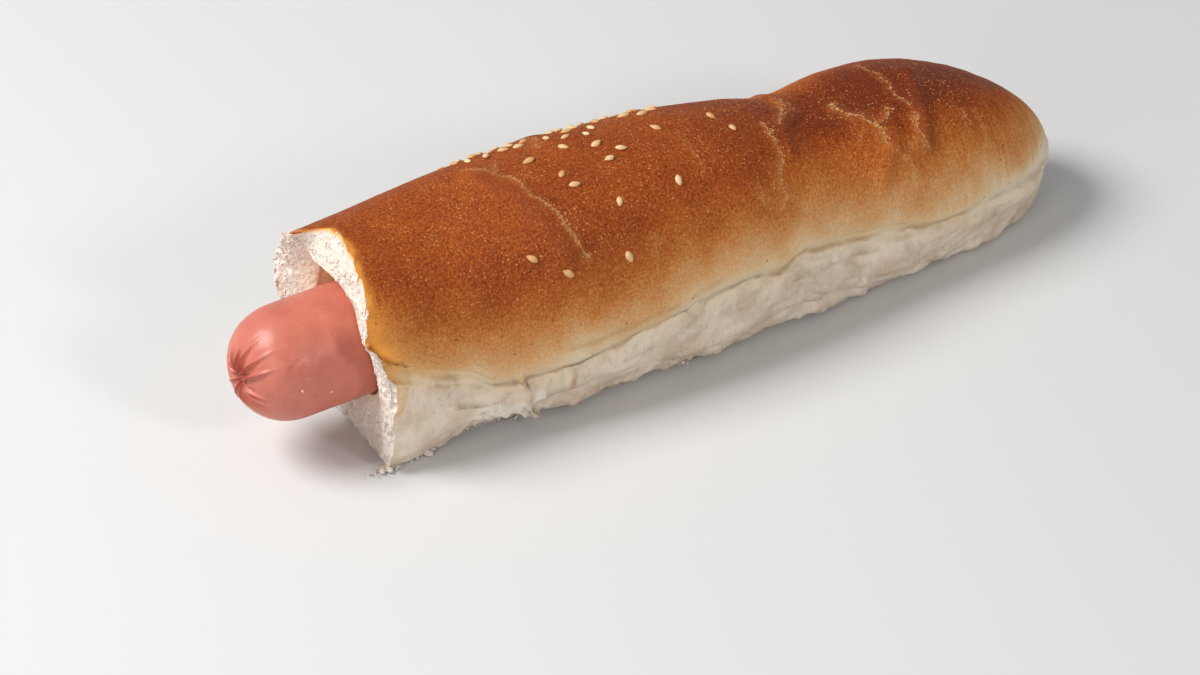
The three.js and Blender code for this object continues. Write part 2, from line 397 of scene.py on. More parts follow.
# Pale cracks where the crust stretched: width in millimetres, strength, and the line as (x, degrees)
cracks = [
    (0.28, 0.9, [(40.6, 68), (43.6, 78), (44.9, 86), (46.5, 91), (47.8, 98), (47.4, 105), (48.1, 110),
     (48.7, 115), (49.9, 119), (50.8, 124), (51.0, 130), (51.4, 135), (52.6, 142), (53.0, 147)]),
    (0.3, 0.7, [(48.7, 73), (46.9, 80), (44.9, 86)]),
    (0.3, 0.7, [(63.2, 54), (60.7, 70), (60.0, 76)]),
    (0.36, 0.8, [(127.3, 65), (127.1, 73), (123.7, 85), (117.9, 103)]),
    (0.3, 0.9, [(114.1, 94), (114.1, 103), (113.4, 111), (112.9, 118), (111.4, 125), (109.1, 132),
     (108, 137), (108.4, 142), (107.1, 146), (104.6, 150)]),
    (0.22, 0.55, [(104.6, 150), (102.6, 148), (101.2, 140), (101.9, 133)]),
    (0.36, 0.8, [(127.1, 73), (127.6, 83), (126.7, 93)]),
    (0.6, 1.0, [(135, 90), (136.6, 94), (137.3, 103), (139.5, 109), (140.2, 114), (141.1, 120),
     (141.8, 124), (141.5, 130), (142, 136)]),
    (0.3, 0.6, [(141.5, 130), (142.9, 140), (145.1, 144), (146.3, 150), (147.4, 161)]),
    (0.34, 0.85, [(149.4, 110), (146.5, 116), (143.6, 118), (141.1, 120)]),
    (0.26, 0.6, [(140, 119), (137.3, 122), (135.5, 126), (135.2, 130)]),
    (0.34, 0.8, [(153.3, 58), (153.5, 75), (154.2, 86), (153, 97), (152.6, 107), (153.7, 115),
     (153.9, 120)]),
    (0.42, 1.0, [(153.9, 120), (151.7, 125), (150.8, 132), (150.5, 139), (151, 145)]),
    (0.3, 0.6, [(149.4, 134), (147.4, 139), (146.7, 144)]),
    (0.4, 0.6, [(166.3, 123), (166.1, 131), (166.5, 137)]),
    (0.3, 0.4, [(170.8, 122), (170.1, 138), (169.5, 155)]),
    (0.28, 0.6, [(71.5, 141), (69.5, 146), (69.9, 152), (69, 162)]),
    (0.24, 0.45, [(92.4, 88), (91.8, 98), (90.9, 110), (90.6, 117), (88.8, 124)]),
    (0.24, 0.5, [(101, 129), (101.4, 137), (102.3, 146)]),
    # the back has its own, where it wasn't seen
    (0.34, 0.8, [(62, 58), (60, 48), (61.5, 34), (59, 20)]),
    (0.36, 0.9, [(124, 62), (120, 52), (123, 38), (121, 24)]),
    (0.34, 0.7, [(150, 52), (147, 42), (149, 28)]),
]

crackForm = {
    "rimHeight": 0.12, "rimWidth": 1.2, "grooveWidth": 0.4,
    "paleReach": 2.6, "paler": 0.17, "darker": 0.05,      # the crust on its two sides
}

# Broad valleys in the crust: depth, width, how strong the painted shade in them is, and the line
valleys = [
    (0.8, 3.6, 0.5, [(42, 84), (44.8, 104), (47, 122), (49, 138)]),
    (1.0, 2.3, 0.6, [(162, 84), (158.9, 103), (156.4, 115), (154.8, 121), (150.5, 139)]),
    (0.5, 2.4, 0.25, [(145.8, 125), (144.5, 134), (140.6, 142), (137.7, 149)]),
    (0.6, 1.8, 0.2, [(127.6, 40), (127.4, 62), (126.9, 80), (123, 96), (117.5, 108), (115, 122)]),
    (0.8, 4.0, 0.3, [(63, 56), (61, 38), (62, 22)]),
]

# Creases in the soft side: depth, width, and the line as (x, height) on the front
sideCreases = [
    (0.8, 1.1, [(45, 21.5), (52, 21.5), (58, 22.3), (64, 22.9), (72, 24), (84, 26)]),
    (1.5, 0.8, [(17.2, 12.9), (21.7, 12.2), (26.2, 10.6), (28.2, 11.8), (31.6, 12.6), (34.8, 13.1)]),
    (1.0, 0.7, [(139.3, 14.5), (144.2, 14), (149.4, 13), (152.4, 12.9)]),
    (1.2, 0.7, [(115.4, 9.1), (119, 7.9), (121.9, 7.6), (126.2, 6.7), (130.7, 5.4)]),
    (1.0, 0.7, [(104.1, 9.2), (110, 8.3), (113.6, 7), (118.1, 5.9)]),
    (0.5, 1.0, [(60, 12), (68, 14), (76, 15.5)]),
    (0.6, 0.9, [(86, 16), (92, 14.5), (99, 14)]),
    (0.9, 0.9, [(108, 16.5), (118, 15.5), (127, 15.8), (134, 14.5)]),
    (0.9, 0.8, [(158, 9.5), (165, 10.2), (171, 9.4)]),
    (0.9, 0.9, [(172, 8.6), (180, 8.4), (187, 7.4)]),
]

# The crust flap at the torn corner: a crease down to a small hook, and a glazed valley under it
flap = {
    "crease": [(-4.2, 146), (-2.2, 154), (0.6, 160.5), (1.9, 162), (2.8, 161.5), (4.8, 167.5)],
    "valley": [(5.7, 172), (3.7, 179), (2.3, 187), (1.2, 192)],
    "depth": 1.5, "valleyDepth": 0.8, "width": 0.55, "lip": 1.0,
    "cornerAngle": 146, "glazeAngle": 168,      # where round the torn edge the glaze is widest
}
# Short creases scattered along the soft band by a rule
bandCreases = {
    "count": 34, "longest": 17.0, "shortest": 5.0, "depth": 0.5, "width": 0.7, "seed": 611,
    "from": 8.0, "reach": 176.0,      # where along the bun they lie
}

# The split in the base band, as (x, height), with torn crumb on both sides of it
split = {
    "line": [(32.3, 17), (34.5, 14.5), (35, 13.3), (35.2, 10.8), (35.7, 7.8), (37, 4.3), (37.6, 0.5)],
    "depth": 2.8, "width": 0.75,
}
tornPatches = [
    {"x": 28.5, "height": 5.6, "reach": 8.0, "rise": 5.0, "relief": 1.3},
    {"x": 37.6, "height": 9.5, "reach": 1.8, "rise": 2.6, "relief": 0.8},
    {"x": 38.0, "height": 3.0, "reach": 4.0, "rise": 2.6, "relief": 1.0},
]
caramelMark = {"x": 46.5, "height": 11.0, "reach": 0.75, "rise": 2.6}

# How far the base's front edge is lifted off the level
baseLift = [
    (0, 0.0), (10, 0.2), (17, 2.0), (23, 4.0), (29, 4.2), (36, 3.4), (44, 2.4), (60, 2.0), (90, 1.6),
    (120, 0.9), (150, 0.6), (197, 0.0),
]


def frontPoint(x, height):    # the place on the front skin at a height, from its angle
    degrees = np.linspace(120, 262, 900)
    column = skinPoint(np.full(degrees.shape, float(x)), degrees)
    return column[np.argmin(np.abs(column[:, 2] - height))]


def frontLine(places):
    return np.array([frontPoint(x, height) for x, height in places])


def jitter(points, size, reach, offset=0.0):
    moves = [softNoise(points, size, offset + 11.0 * k) for k in range(3)]
    return points + reach * np.stack(moves, -1)


def lineSide(points, line, normals):
    # distance to a line on the skin, the side of it, and how far inside the line's ends a point is
    best = np.full(points.shape[:-1], 1e3)
    side = np.ones(best.shape)
    inside = np.zeros(best.shape)
    last = len(line) - 2
    for k, (start, end) in enumerate(zip(line[:-1], line[1:])):
        way = end - start
        length = np.linalg.norm(way)
        raw = ((points - start) @ way) / (length * length)
        t = np.clip(raw, 0, 1)
        away = points - start - t[..., None] * way
        gap = np.linalg.norm(away, axis=-1)
        closer = gap < best
        best = np.where(closer, gap, best)
        sign = np.sign((np.cross(normals, way) * away).sum(-1))
        side = np.where(closer, sign, side)
        depth = np.full(raw.shape, 2.0)
        if k == 0:
            depth = np.minimum(depth, raw * length)
        if k == last:
            depth = np.minimum(depth, (1 - raw) * length)
        inside = np.where(closer, depth, inside)
    return best, side, inside


def scatteredCreases():
    draw = np.random.default_rng(bandCreases["seed"])
    longer = bandCreases["longest"] - bandCreases["shortest"]
    creases = []
    for k in range(bandCreases["count"]):
        x = bandCreases["from"] + bandCreases["reach"] * (k + draw.random()) / bandCreases["count"]
        low = 2.5 + (through(loaf["foldLine"], x) - 4) * draw.random()
        length = bandCreases["shortest"] + longer * draw.random() ** 2
        slope = 0.16 * draw.normal()
        line = []
        for share in (0, 0.35, 0.7, 1):
            height = low + length * share * slope + 0.7 * draw.normal()
            line.append((x + length * share, max(1.0, height)))
        depth = bandCreases["depth"] * draw.uniform(0.4, 1.3)
        width = bandCreases["width"] * draw.uniform(0.5, 1.3)
        creases.append((depth, width, line))
    return creases


def crustGrid():
    u = np.arange(crustMesh["columns"]) / crustMesh["columns"]
    turn = u + crustMesh["crestDensity"] * np.sin(2 * math.pi * u) / (2 * math.pi)
    rows, degreesRows, scales = [], [], []
    for k in range(crustMesh["domeRings"]):
        swing = (math.pi / 2) * (1 - (k + 0.35) / crustMesh["domeRings"])
        reach = math.sin(swing) ** (2 / loaf["domePower"])
        scale = math.cos(swing) ** (2 / loaf["domePower"])
        x = np.full(u.shape, loaf["domeStart"] + (loaf["length"] - loaf["domeStart"]) * reach)
        degrees = columnDegrees(turn, x)
        rows.append(skinPoint(x, degrees, scale))
        degreesRows.append(degrees)
        scales.append(np.full(u.shape, scale))
    for k in range(crustMesh["bodyRings"] + 1):
        share = k / crustMesh["bodyRings"]
        straight = np.full(u.shape, loaf["domeStart"] * (1 - share))
        degrees = columnDegrees(turn, straight)
        torn = around(loaf["tornEdge"], degrees)
        onEdge = np.stack([degrees * 0, np.cos(degrees * radian) * 26, np.sin(degrees * radian) * 24], -1)
        wander = layeredNoise(onEdge, 4.0, 4) * crustMesh["ragged"]
        wander = wander + 0.35 * layeredNoise(onEdge, 1.3, 2, 2.0)
        gap = turnFrom(degrees, crustMesh["hookAngle"])
        hook = crustMesh["hookReach"] * bell(gap, crustMesh["hookSpread"])
        x = straight + share * torn + share ** 14 * (wander - hook)
        rows.append(skinPoint(x, degrees))
        degreesRows.append(degrees)
        scales.append(np.ones(u.shape))
    return np.array(rows), np.array(degreesRows), np.array(scales)


# Browning: cream at the fold, brown on the crest, paler at the closed end
baking = {
    # place along the bun, and how far above the fold the browning starts and how far it takes
    "start": [
        (0, -9), (12, -6), (24, -3), (45, -1.5), (70, -1.5), (100, -1), (140, -1), (165, 2.5), (197, 5),
    ],
    "span": [
        (0, 30), (24, 31), (45, 29), (70, 28), (100, 28), (125, 32), (150, 34), (175, 26), (197, 18),
    ],
    "patch": 18.0, "uneven": 3.2,           # size and height of its wavering edge
    "crown": 0.79, "deep": 0.22,            # how far up the colour ramp it goes, and the crest's share
    "deepFrom": 85.0, "deepTo": 150.0,      # the crest is darkest past the waist
}


def bakedTone(grid, arc):
    x = grid[..., 0]
    wobble = baking["uneven"] * layeredNoise(grid, baking["patch"], 3, 3.1)
    above = arc + wobble - through(baking["start"], x)
    browning = np.clip(above / through(baking["span"], x), 0, 1) ** 0.8
    browning = browning * (1 - 0.12 * smoothStep(184, 197, x))
    deep = smoothStep(baking["deepFrom"], baking["deepTo"], x) * smoothStep(10, 32, arc)
    return baking["crown"] * browning + baking["deep"] * deep * browning


def crackMarks(grid, normals, browning):
    # the nearest crack's signed distance, strength and width, a low rim beside each crack, and a crust
    # that is more golden on its one side
    side = np.full(browning.shape, 4.0)
    nearest = side.copy()
    show = np.zeros(browning.shape)
    wide = np.full(browning.shape, 0.3)
    relief = 0
    query = jitter(grid, 2.4, 0.8)
    for width, strength, line in cracks:
        distance, sign, inside = lineSide(query, onSkin(line), normals)
        shown = strength * smoothStep(0.0, 2.0, inside)
        closer = distance < nearest
        nearest = np.where(closer, distance, nearest)
        side = np.where(closer, distance * sign, side)
        show = np.where(closer, shown, show)
        wide = np.where(closer, width, wide)
        rim = bell(distance, crackForm["rimWidth"]) - bell(distance, crackForm["grooveWidth"])
        relief = relief + crackForm["rimHeight"] * shown * rim
        golden = shown * bell(distance, crackForm["paleReach"])
        paler = np.where(sign > 0, crackForm["paler"], -crackForm["darker"])
        browning = browning - golden * paler * browning
    return relief, browning, {"crackSide": side, "crackShow": show, "crackWide": wide}


def valleyMarks(grid):
    relief = 0
    valleyShade = np.zeros(grid.shape[:2])
    for depth, width, shadeStrength, line in valleys:
        distance = lineDistance(jitter(grid, 7.0, 0.8, 2.0), onSkin(line))
        relief = relief - depth * bell(distance, width)
        # painted shade along each valley
        valleyShade = np.maximum(valleyShade, shadeStrength * bell(distance, width * 0.8))
    return relief, valleyShade


def flapMarks(grid, normals):
    relief = 0
    for line, depth in ((flap["crease"], flap["depth"]), (flap["valley"], flap["valleyDepth"])):
        distance = lineDistance(jitter(grid, 3.0, 0.3), onSkin(line))
        relief = relief - depth * (bell(distance, flap["width"]) - 0.55 * bell(distance, 1.9))
    distance, sign, inside = lineSide(jitter(grid, 3.0, 0.3), onSkin(flap["crease"]), normals)
    overhang = smoothStep(-0.25, 0.2, distance * sign) * bell(distance, 2.4)
    relief = relief + flap["lip"] * overhang * smoothStep(-1.0, 1.0, inside)
    # the second value is painted shade in the flap's crease
    return relief, bell(distance, 0.5) * smoothStep(-1.0, 0.5, inside)


def creaseMarks(grid, front):
    # creases in the soft side, and the split through the base band, with painted shade along each
    relief = 0
    crease = np.zeros(front.shape)
    soft = jitter(grid, 5.0, 0.8)
    for depth, width, line in sideCreases + scatteredCreases():
        distance = lineDistance(soft, frontLine(line))
        relief = relief - 1.25 * depth * (bell(distance, width) - 0.5 * bell(distance, 2.2)) * front
        crease = np.maximum(crease, min(1, 0.9 * depth) * bell(distance, width * 0.5) * front)
    distance = lineDistance(jitter(grid, 2.5, 0.6), frontLine(split["line"]))
    relief = relief - split["depth"] * bell(distance, split["width"]) * front
    crease = np.maximum(crease, bell(distance, split["width"] * 0.6) * front)
    return relief, crease, 0.8 * bell(distance, split["width"] * 0.45) * front


def tornMarks(grid, front):   # torn crumb beside the split
    relief = 0
    torn = np.zeros(front.shape)
    for one in tornPatches:
        along = (grid[..., 0] - one["x"]) / one["reach"]
        upright = (grid[..., 2] - one["height"]) / one["rise"]
        patch = smoothStep(1.3, 0.6, along ** 2 + upright ** 2 + 0.5 * softNoise(grid, 2.0)) * front
        relief = relief + patch * one["relief"] * (layeredNoise(grid, 1.8, 3, 1.7) - 0.55)
        torn = np.maximum(torn, patch)
    return relief, torn


def stretched(grid, along):   # a place to read noise at, so that its features run along the bun
    return np.stack([grid[..., 0] * along, grid[..., 1], grid[..., 2]], -1)


# Noise in the crust's relief: height and size in millimetres, layers and offset
crustRough = {
    "swell": (0.45, 30, 2, 0.0), "dent": (0.14, 10, 2, 5.0), "skin": (0.03, 1.2, 2, 2.5),
    "foldWaver": (1.1, 9.0, 3, 5.5), "stretchMarks": (0.10, 2.2, 1, 0.0), "lowEdge": (0.75, 2.6, 3, 4.4),
    "bandSwell": (0.9, 8.0, 2, 9.2), "pucker": (0.65, 4.2, 2, 4.6),
    "bandFold": (0.6, 3.6, 1, 6.0), "bandGrain": (0.36, 2.0, 3, 8.0),
}
foldEdge = {
    "lip": 0.45, "lipFrom": 1.1, "lipWidth": 1.0,         # the crust bulges just above the fold
    "groove": 0.75, "grooveFrom": -0.35, "grooveWidth": 0.5,
}


def roughness(kind, points):
    height, size, layers, offset = crustRough[kind]
    return height * layeredNoise(points, size, layers, offset)


def bandRelief(grid, arc, band):
    # broad swells, puckers, folds in patches, and fine wrinkles that run mostly lengthwise, with painted
    # shade in the wrinkles
    broad = roughness("bandSwell", stretched(grid, 0.45))
    puckers = roughness("pucker", stretched(grid, 0.6))
    folds = np.abs(roughness("bandFold", stretched(grid, 0.35))) + roughness("bandGrain", grid)
    patchy = smoothStep(-0.3, 0.5, softNoise(grid, 13, 1.1))
    lengthways = stretched(grid, 0.3)
    lengthways[..., 0] += 0.25 * grid[..., 2]
    ridges = np.abs(layeredNoise(lengthways, 1.7, 2, 7.3))
    wrinkled = band * smoothStep(-0.5, 0.3, softNoise(grid, 8, 5.1))
    relief = (1 - smoothStep(1.0, 6.0, arc)) * broad + band * (puckers + patchy * folds)
    return relief - 0.55 * wrinkled * bell(ridges, 0.16), wrinkled * bell(ridges, 0.1)


def glazeMarks(grid, degrees, arc):
    # the glaze ran over the torn edge, widest at the near corner, and into the flap's valley
    fromEdge = grid[..., 0] - around(loaf["tornEdge"], degrees)
    corner = bell(turnFrom(degrees, flap["cornerAngle"]), 16)
    rim = bell(fromEdge, 1.0 + 5.2 * corner + 0.6 * softNoise(grid, 2.2, 3.3))
    rim = rim * smoothStep(-3, 1, arc) * (0.75 + 0.3 * corner + 0.4 * softNoise(grid, 2.5, 6.1))
    glaze = bell(fromEdge, 6.0) * bell(turnFrom(degrees, flap["glazeAngle"]), 16)
    ochre = bell(lineDistance(grid, onSkin(flap["valley"])), 1.3)
    return rim, np.maximum(glaze, 0.9 * ochre)


def crustRelief(grid, degrees, scales, normals):
    x = grid[..., 0]
    z = grid[..., 2]
    frontArc, backArc = foldArcs(x, degrees)
    front = smoothStep(0.15, -0.15, np.cos(degrees * radian))
    arc = np.where(front > 0.5, frontArc, backArc) * scales
    # the fold wavers a little
    lengthwise = np.stack([x, 0 * x, 20 * front], -1)
    arc = arc + roughness("foldWaver", lengthwise)
    above = smoothStep(-0.35, 0.35, arc)
    band = (1 - above) * (1 - bell(arc, 0.3))

    relief = roughness("swell", grid) + roughness("dent", grid)
    # the crust's lip hangs a little over the band at the fold
    lip = foldEdge["lip"] * bell(arc - foldEdge["lipFrom"], foldEdge["lipWidth"])
    lip = lip - foldEdge["groove"] * bell(arc - foldEdge["grooveFrom"], foldEdge["grooveWidth"])
    relief = relief + lip * (0.75 + 0.4 * softNoise(grid, 12, 2.0))
    crackRelief, browning, crackValues = crackMarks(grid, normals, bakedTone(grid, arc))
    valleyRelief, valleyShade = valleyMarks(grid)
    creaseRelief, crease, splitShade = creaseMarks(grid, front)
    flapRelief, flapCreaseShade = flapMarks(grid, normals)
    tornRelief, torn = tornMarks(grid, front)
    softRelief, wrinkle = bandRelief(grid, arc, band)
    relief = relief + crackRelief + valleyRelief + creaseRelief + flapRelief + tornRelief + softRelief
    # stretch marks that run down the closed end, a fine skin above the fold, a rough lower edge
    streak = np.stack([x, arc * 0.10, 0 * x], -1)
    relief = relief + roughness("stretchMarks", streak) * smoothStep(138, 165, x) * above
    relief = relief + roughness("skin", grid) * above
    relief = relief + roughness("lowEdge", grid) * bell(z - 1.0, 1.8)

    along = (x - caramelMark["x"]) / caramelMark["reach"]
    upright = (z - caramelMark["height"]) / caramelMark["rise"]
    rim, glaze = glazeMarks(grid, degrees, arc)
    attributes = {
        # the valley, crease and hook masks are painted shade in grooves
        "browning": browning, **crackValues, "valleyShade": valleyShade, "crease": np.maximum(crease, 0.3 * wrinkle),
        "hook": np.maximum(flapCreaseShade, splitShade), "band": band, "torn": torn, "rim": rim,
        "mark": np.exp(-along ** 2 - upright ** 2) * front, "arc": arc, "along": x, "glaze": glaze,
    }
    return relief * smoothStep(0.05, 0.35, scales), attributes


def liftBase(points, degrees):
    # the base's front edge curls up from the level, most of all beside the split
    rise = through(baseLift, points[..., 0])
    bend = through(stationPairs["bend"], points[..., 0])
    half = through(stationPairs["width"], points[..., 0]) / 2
    outward = smoothStep(0.35, 0.95, (bend - points[..., 1]) / half)
    low = smoothStep(11, 0, points[..., 2])
    lifted = points.copy()
    lifted[..., 2] += rise * outward * low
    return lifted


def buildCrust():
    grid, degrees, scales = crustGrid()
    normals = gridNormals(grid, -1)
    relief, attributes = crustRelief(grid, degrees, scales, normals)
    moved = grid + normals * relief[..., None]
    moved[..., 2] = np.where(grid[..., 2] <= 0, 0, np.maximum(moved[..., 2], 0))
    moved = liftBase(moved, degrees)
    rings, columns = grid.shape[:2]
    pole = moved[0].mean(axis=0)
    points = np.concatenate([moved.reshape(-1, 3), pole[None]])
    triangles = fan(rings * columns, 0, columns, flip=True)
    values = {key: np.append(value.ravel(), value[0].mean()) for key, value in attributes.items()}
    piece = makeMesh("bun_crust", points, gridFaces(rings, columns), triangles, values)
    return piece, list(attributes), moved[-1]


crustColors = {
    # from the pale side to the darkest crest
    "ramp": [
        (0.0, "#e4d6c0"), (0.14, "#dfc69f"), (0.3, "#d6a26c"), (0.46, "#c67d3d"),
        (0.64, "#ab581b"), (0.8, "#934110"), (1.0, "#6a2607"),
    ],
    "band": "#eadac7",
    "bandShade": "#d5c0a9",
}
# What lies over the browning, from the lowest layer up: where it shows, its colour and its strength
crustLayers = [
    ("fleck", "#eaa864", 0.75),        # blistered glaze
    # painted shade in the valleys
    ("valleyShade", "#74310f", 0.9),          # in the valleys
    ("crackLine", "#f2b577", 0.85),
    ("band", "bandTone", 1.0),
    ("scuff", "#a68f78", 0.55),
    ("underFold", "#ecd6b3", 0.55),
    ("torn", "#ebe1d2", 1.0),
    ("glaze", "#e8b872", 0.75),
    ("rim", "#f6a445", 0.85),
    # painted shade along the fold
    ("foldLine", "#a37f52", 1.0),
    # painted shade in the creases, wrinkles and split
    ("crease", "#a37f52", 0.55),
    # painted shade in the flap's crease and the split
    ("hook", "#8a4a1e", 0.9),
    ("mark", "#b5854a", 0.8),          # a drip of caramel
    ("pin", "#43200f", 0.6),
]
# sizes on the crust in millimetres
crustPattern = {
    "mottle": 8.0,            # broad unevenness of the browning
    "grain": 0.62,            # fine grain of the baked skin
    "cluster": 9.0,           # patches where flecks, fibres and the fold's line are stronger
    "crackRough": 0.5,        # how ragged the cracks are
    "fleckCell": 0.72,        # spacing of the flecks of blistered glaze
    "fleckRadius": 0.32,
    "fleckWander": 0.6,       # how far they are off their even places
    "streak": 1.3,            # spacing of the stretch marks at the closed end
    "fibre": 1.5,             # short torn fibres across the base band
    "pinCell": 3.4,           # spacing of the dark dots, of which a share is shown
    "pinRadius": 0.26,
    "pinShare": 0.7,
}
crustNoise = {"mottle": {"Detail": 4.0}, "grain": {"Detail": 3.0, "Roughness": 0.7},
              "cluster": {"Detail": 3.0}, "crackRough": {"Detail": 2.0}}
# How the masks are worked out, in order: a name, what is done, and what with. A word is an attribute
# of the mesh, a pattern or an earlier name. A range has a value, then from, from, to, to.
crustSteps = [
    # browning, made uneven by broad mottling, by fine grain where it is brown and by stretch marks
    ("broad", "MULTIPLY_ADD", "mottle", 0.2, -0.09),
    ("fine", "MULTIPLY_ADD", "grain", 1.3, -0.66),
    ("fineHere", "MULTIPLY", "fine", "browning"),
    ("uneven", "ADD", "broad", "fineHere"),
    ("closedEnd", "range", "along", 135.0, 170.0, 0.0, 0.32),
    ("streakTone", "SUBTRACT", 0.5, "streak"),
    ("streakHere", "MULTIPLY", "streakTone", "closedEnd"),
    ("bakedTone", "ADD", "uneven", "browning"),
    ("tone", "ADD", "bakedTone", "streakHere"),
    # pale golden flecks: no two alike, denser in patches and beside the cracks
    ("fleckSize", "MULTIPLY", "fleckDraw", crustPattern["fleckRadius"] / crustPattern["fleckCell"]),
    ("fleckPatch", "range", "cluster", 0.3, 0.62, 0.55, 1.0),
    ("fleckReach", "MULTIPLY", "fleckSize", "fleckPatch"),
    ("nearCrack", "ABSOLUTE", "crackSide"),
    ("crackFlecks", "range", "nearCrack", 0.3, 1.6, 0.3, 0.0),
    ("moreFlecks", "MULTIPLY_ADD", "crackFlecks", "crackShow", "fleckReach"),
    ("fleckDepth", "SUBTRACT", "moreFlecks", "fleckAway"),
    ("fleckShape", "range", "fleckDepth", 0.0, 0.06, 0.0, 1.0),
    ("fleck", "MULTIPLY", "fleckShape", "browning"),
    # a few dark pin dots
    ("pinShape", "LESS_THAN", "pinAway", crustPattern["pinRadius"] / crustPattern["pinCell"]),
    ("pinChosen", "LESS_THAN", "pinDraw", crustPattern["pinShare"]),
    ("pins", "MULTIPLY", "pinShape", "pinChosen"),
    ("offBand", "range", "band", 0.0, 1.0, 1.0, 0.3),
    ("pin", "MULTIPLY", "pins", "offBand"),
    # cracks: a ragged thin line where the signed distance is near nought, with a faint halo
    ("rough", "MULTIPLY_ADD", "crackRough", 1.3, -0.65),
    ("wandered", "ADD", "crackSide", "rough"),
    ("away", "ABSOLUTE", "wandered"),
    ("inWidths", "DIVIDE", "away", "crackWide"),
    ("thin", "smooth range", "inWidths", 0.3, 1.25, 1.0, 0.0),
    ("halo", "smooth range", "inWidths", 0.0, 6.0, 0.16, 0.0),
    ("brightness", "MAXIMUM", "thin", "halo"),
    ("broken", "range", "grain", 0.43, 0.6, 0.05, 1.0),
    ("crackShown", "MULTIPLY", "brightness", "crackShow"),
    ("crackLine", "MULTIPLY", "crackShown", "broken"),
    # painted shade: a thin dark line in the fold; and the warm tone just under it
    ("foldGap", "ABSOLUTE", "arc"),
    ("foldShadeShape", "smooth range", "foldGap", 0.0, 1.0, 1.0, 0.0),
    ("foldShadePatch", "range", "cluster", 0.42, 0.6, 0.1, 0.6),
    ("foldLine", "MULTIPLY", "foldShadeShape", "foldShadePatch"),
    ("warmth", "range", "arc", -4.5, -0.5, 0.0, 1.0),
    ("underFold", "MULTIPLY", "warmth", "band"),
    # torn fibres on the band
    ("fibreLine", "range", "fibres", 0.3, 0.5, 1.0, 0.0),
    ("fibrePatch", "range", "cluster", 0.4, 0.65, 0.15, 0.9),
    ("fibred", "MULTIPLY", "fibreLine", "fibrePatch"),
    ("scuff", "MULTIPLY", "fibred", "band"),
    ("bandPatches", "range", "mottle", 0.36, 0.6, 0.0, 1.0),
    # satin where it is brown, matte where it is pale
    ("roughness", "range", "browning", 0.0, 1.0, 0.85, 0.5),
    # height of the fine relief
    ("crackHeight", "MULTIPLY_ADD", "crackLine", 0.8, "grain"),
    ("fleckHeight", "MULTIPLY_ADD", "fleck", 0.5, "crackHeight"),
    ("fibreHere", "MULTIPLY", "fibres", "band"),
    ("height", "MULTIPLY_ADD", "fibreHere", 1.2, "fleckHeight"),
]


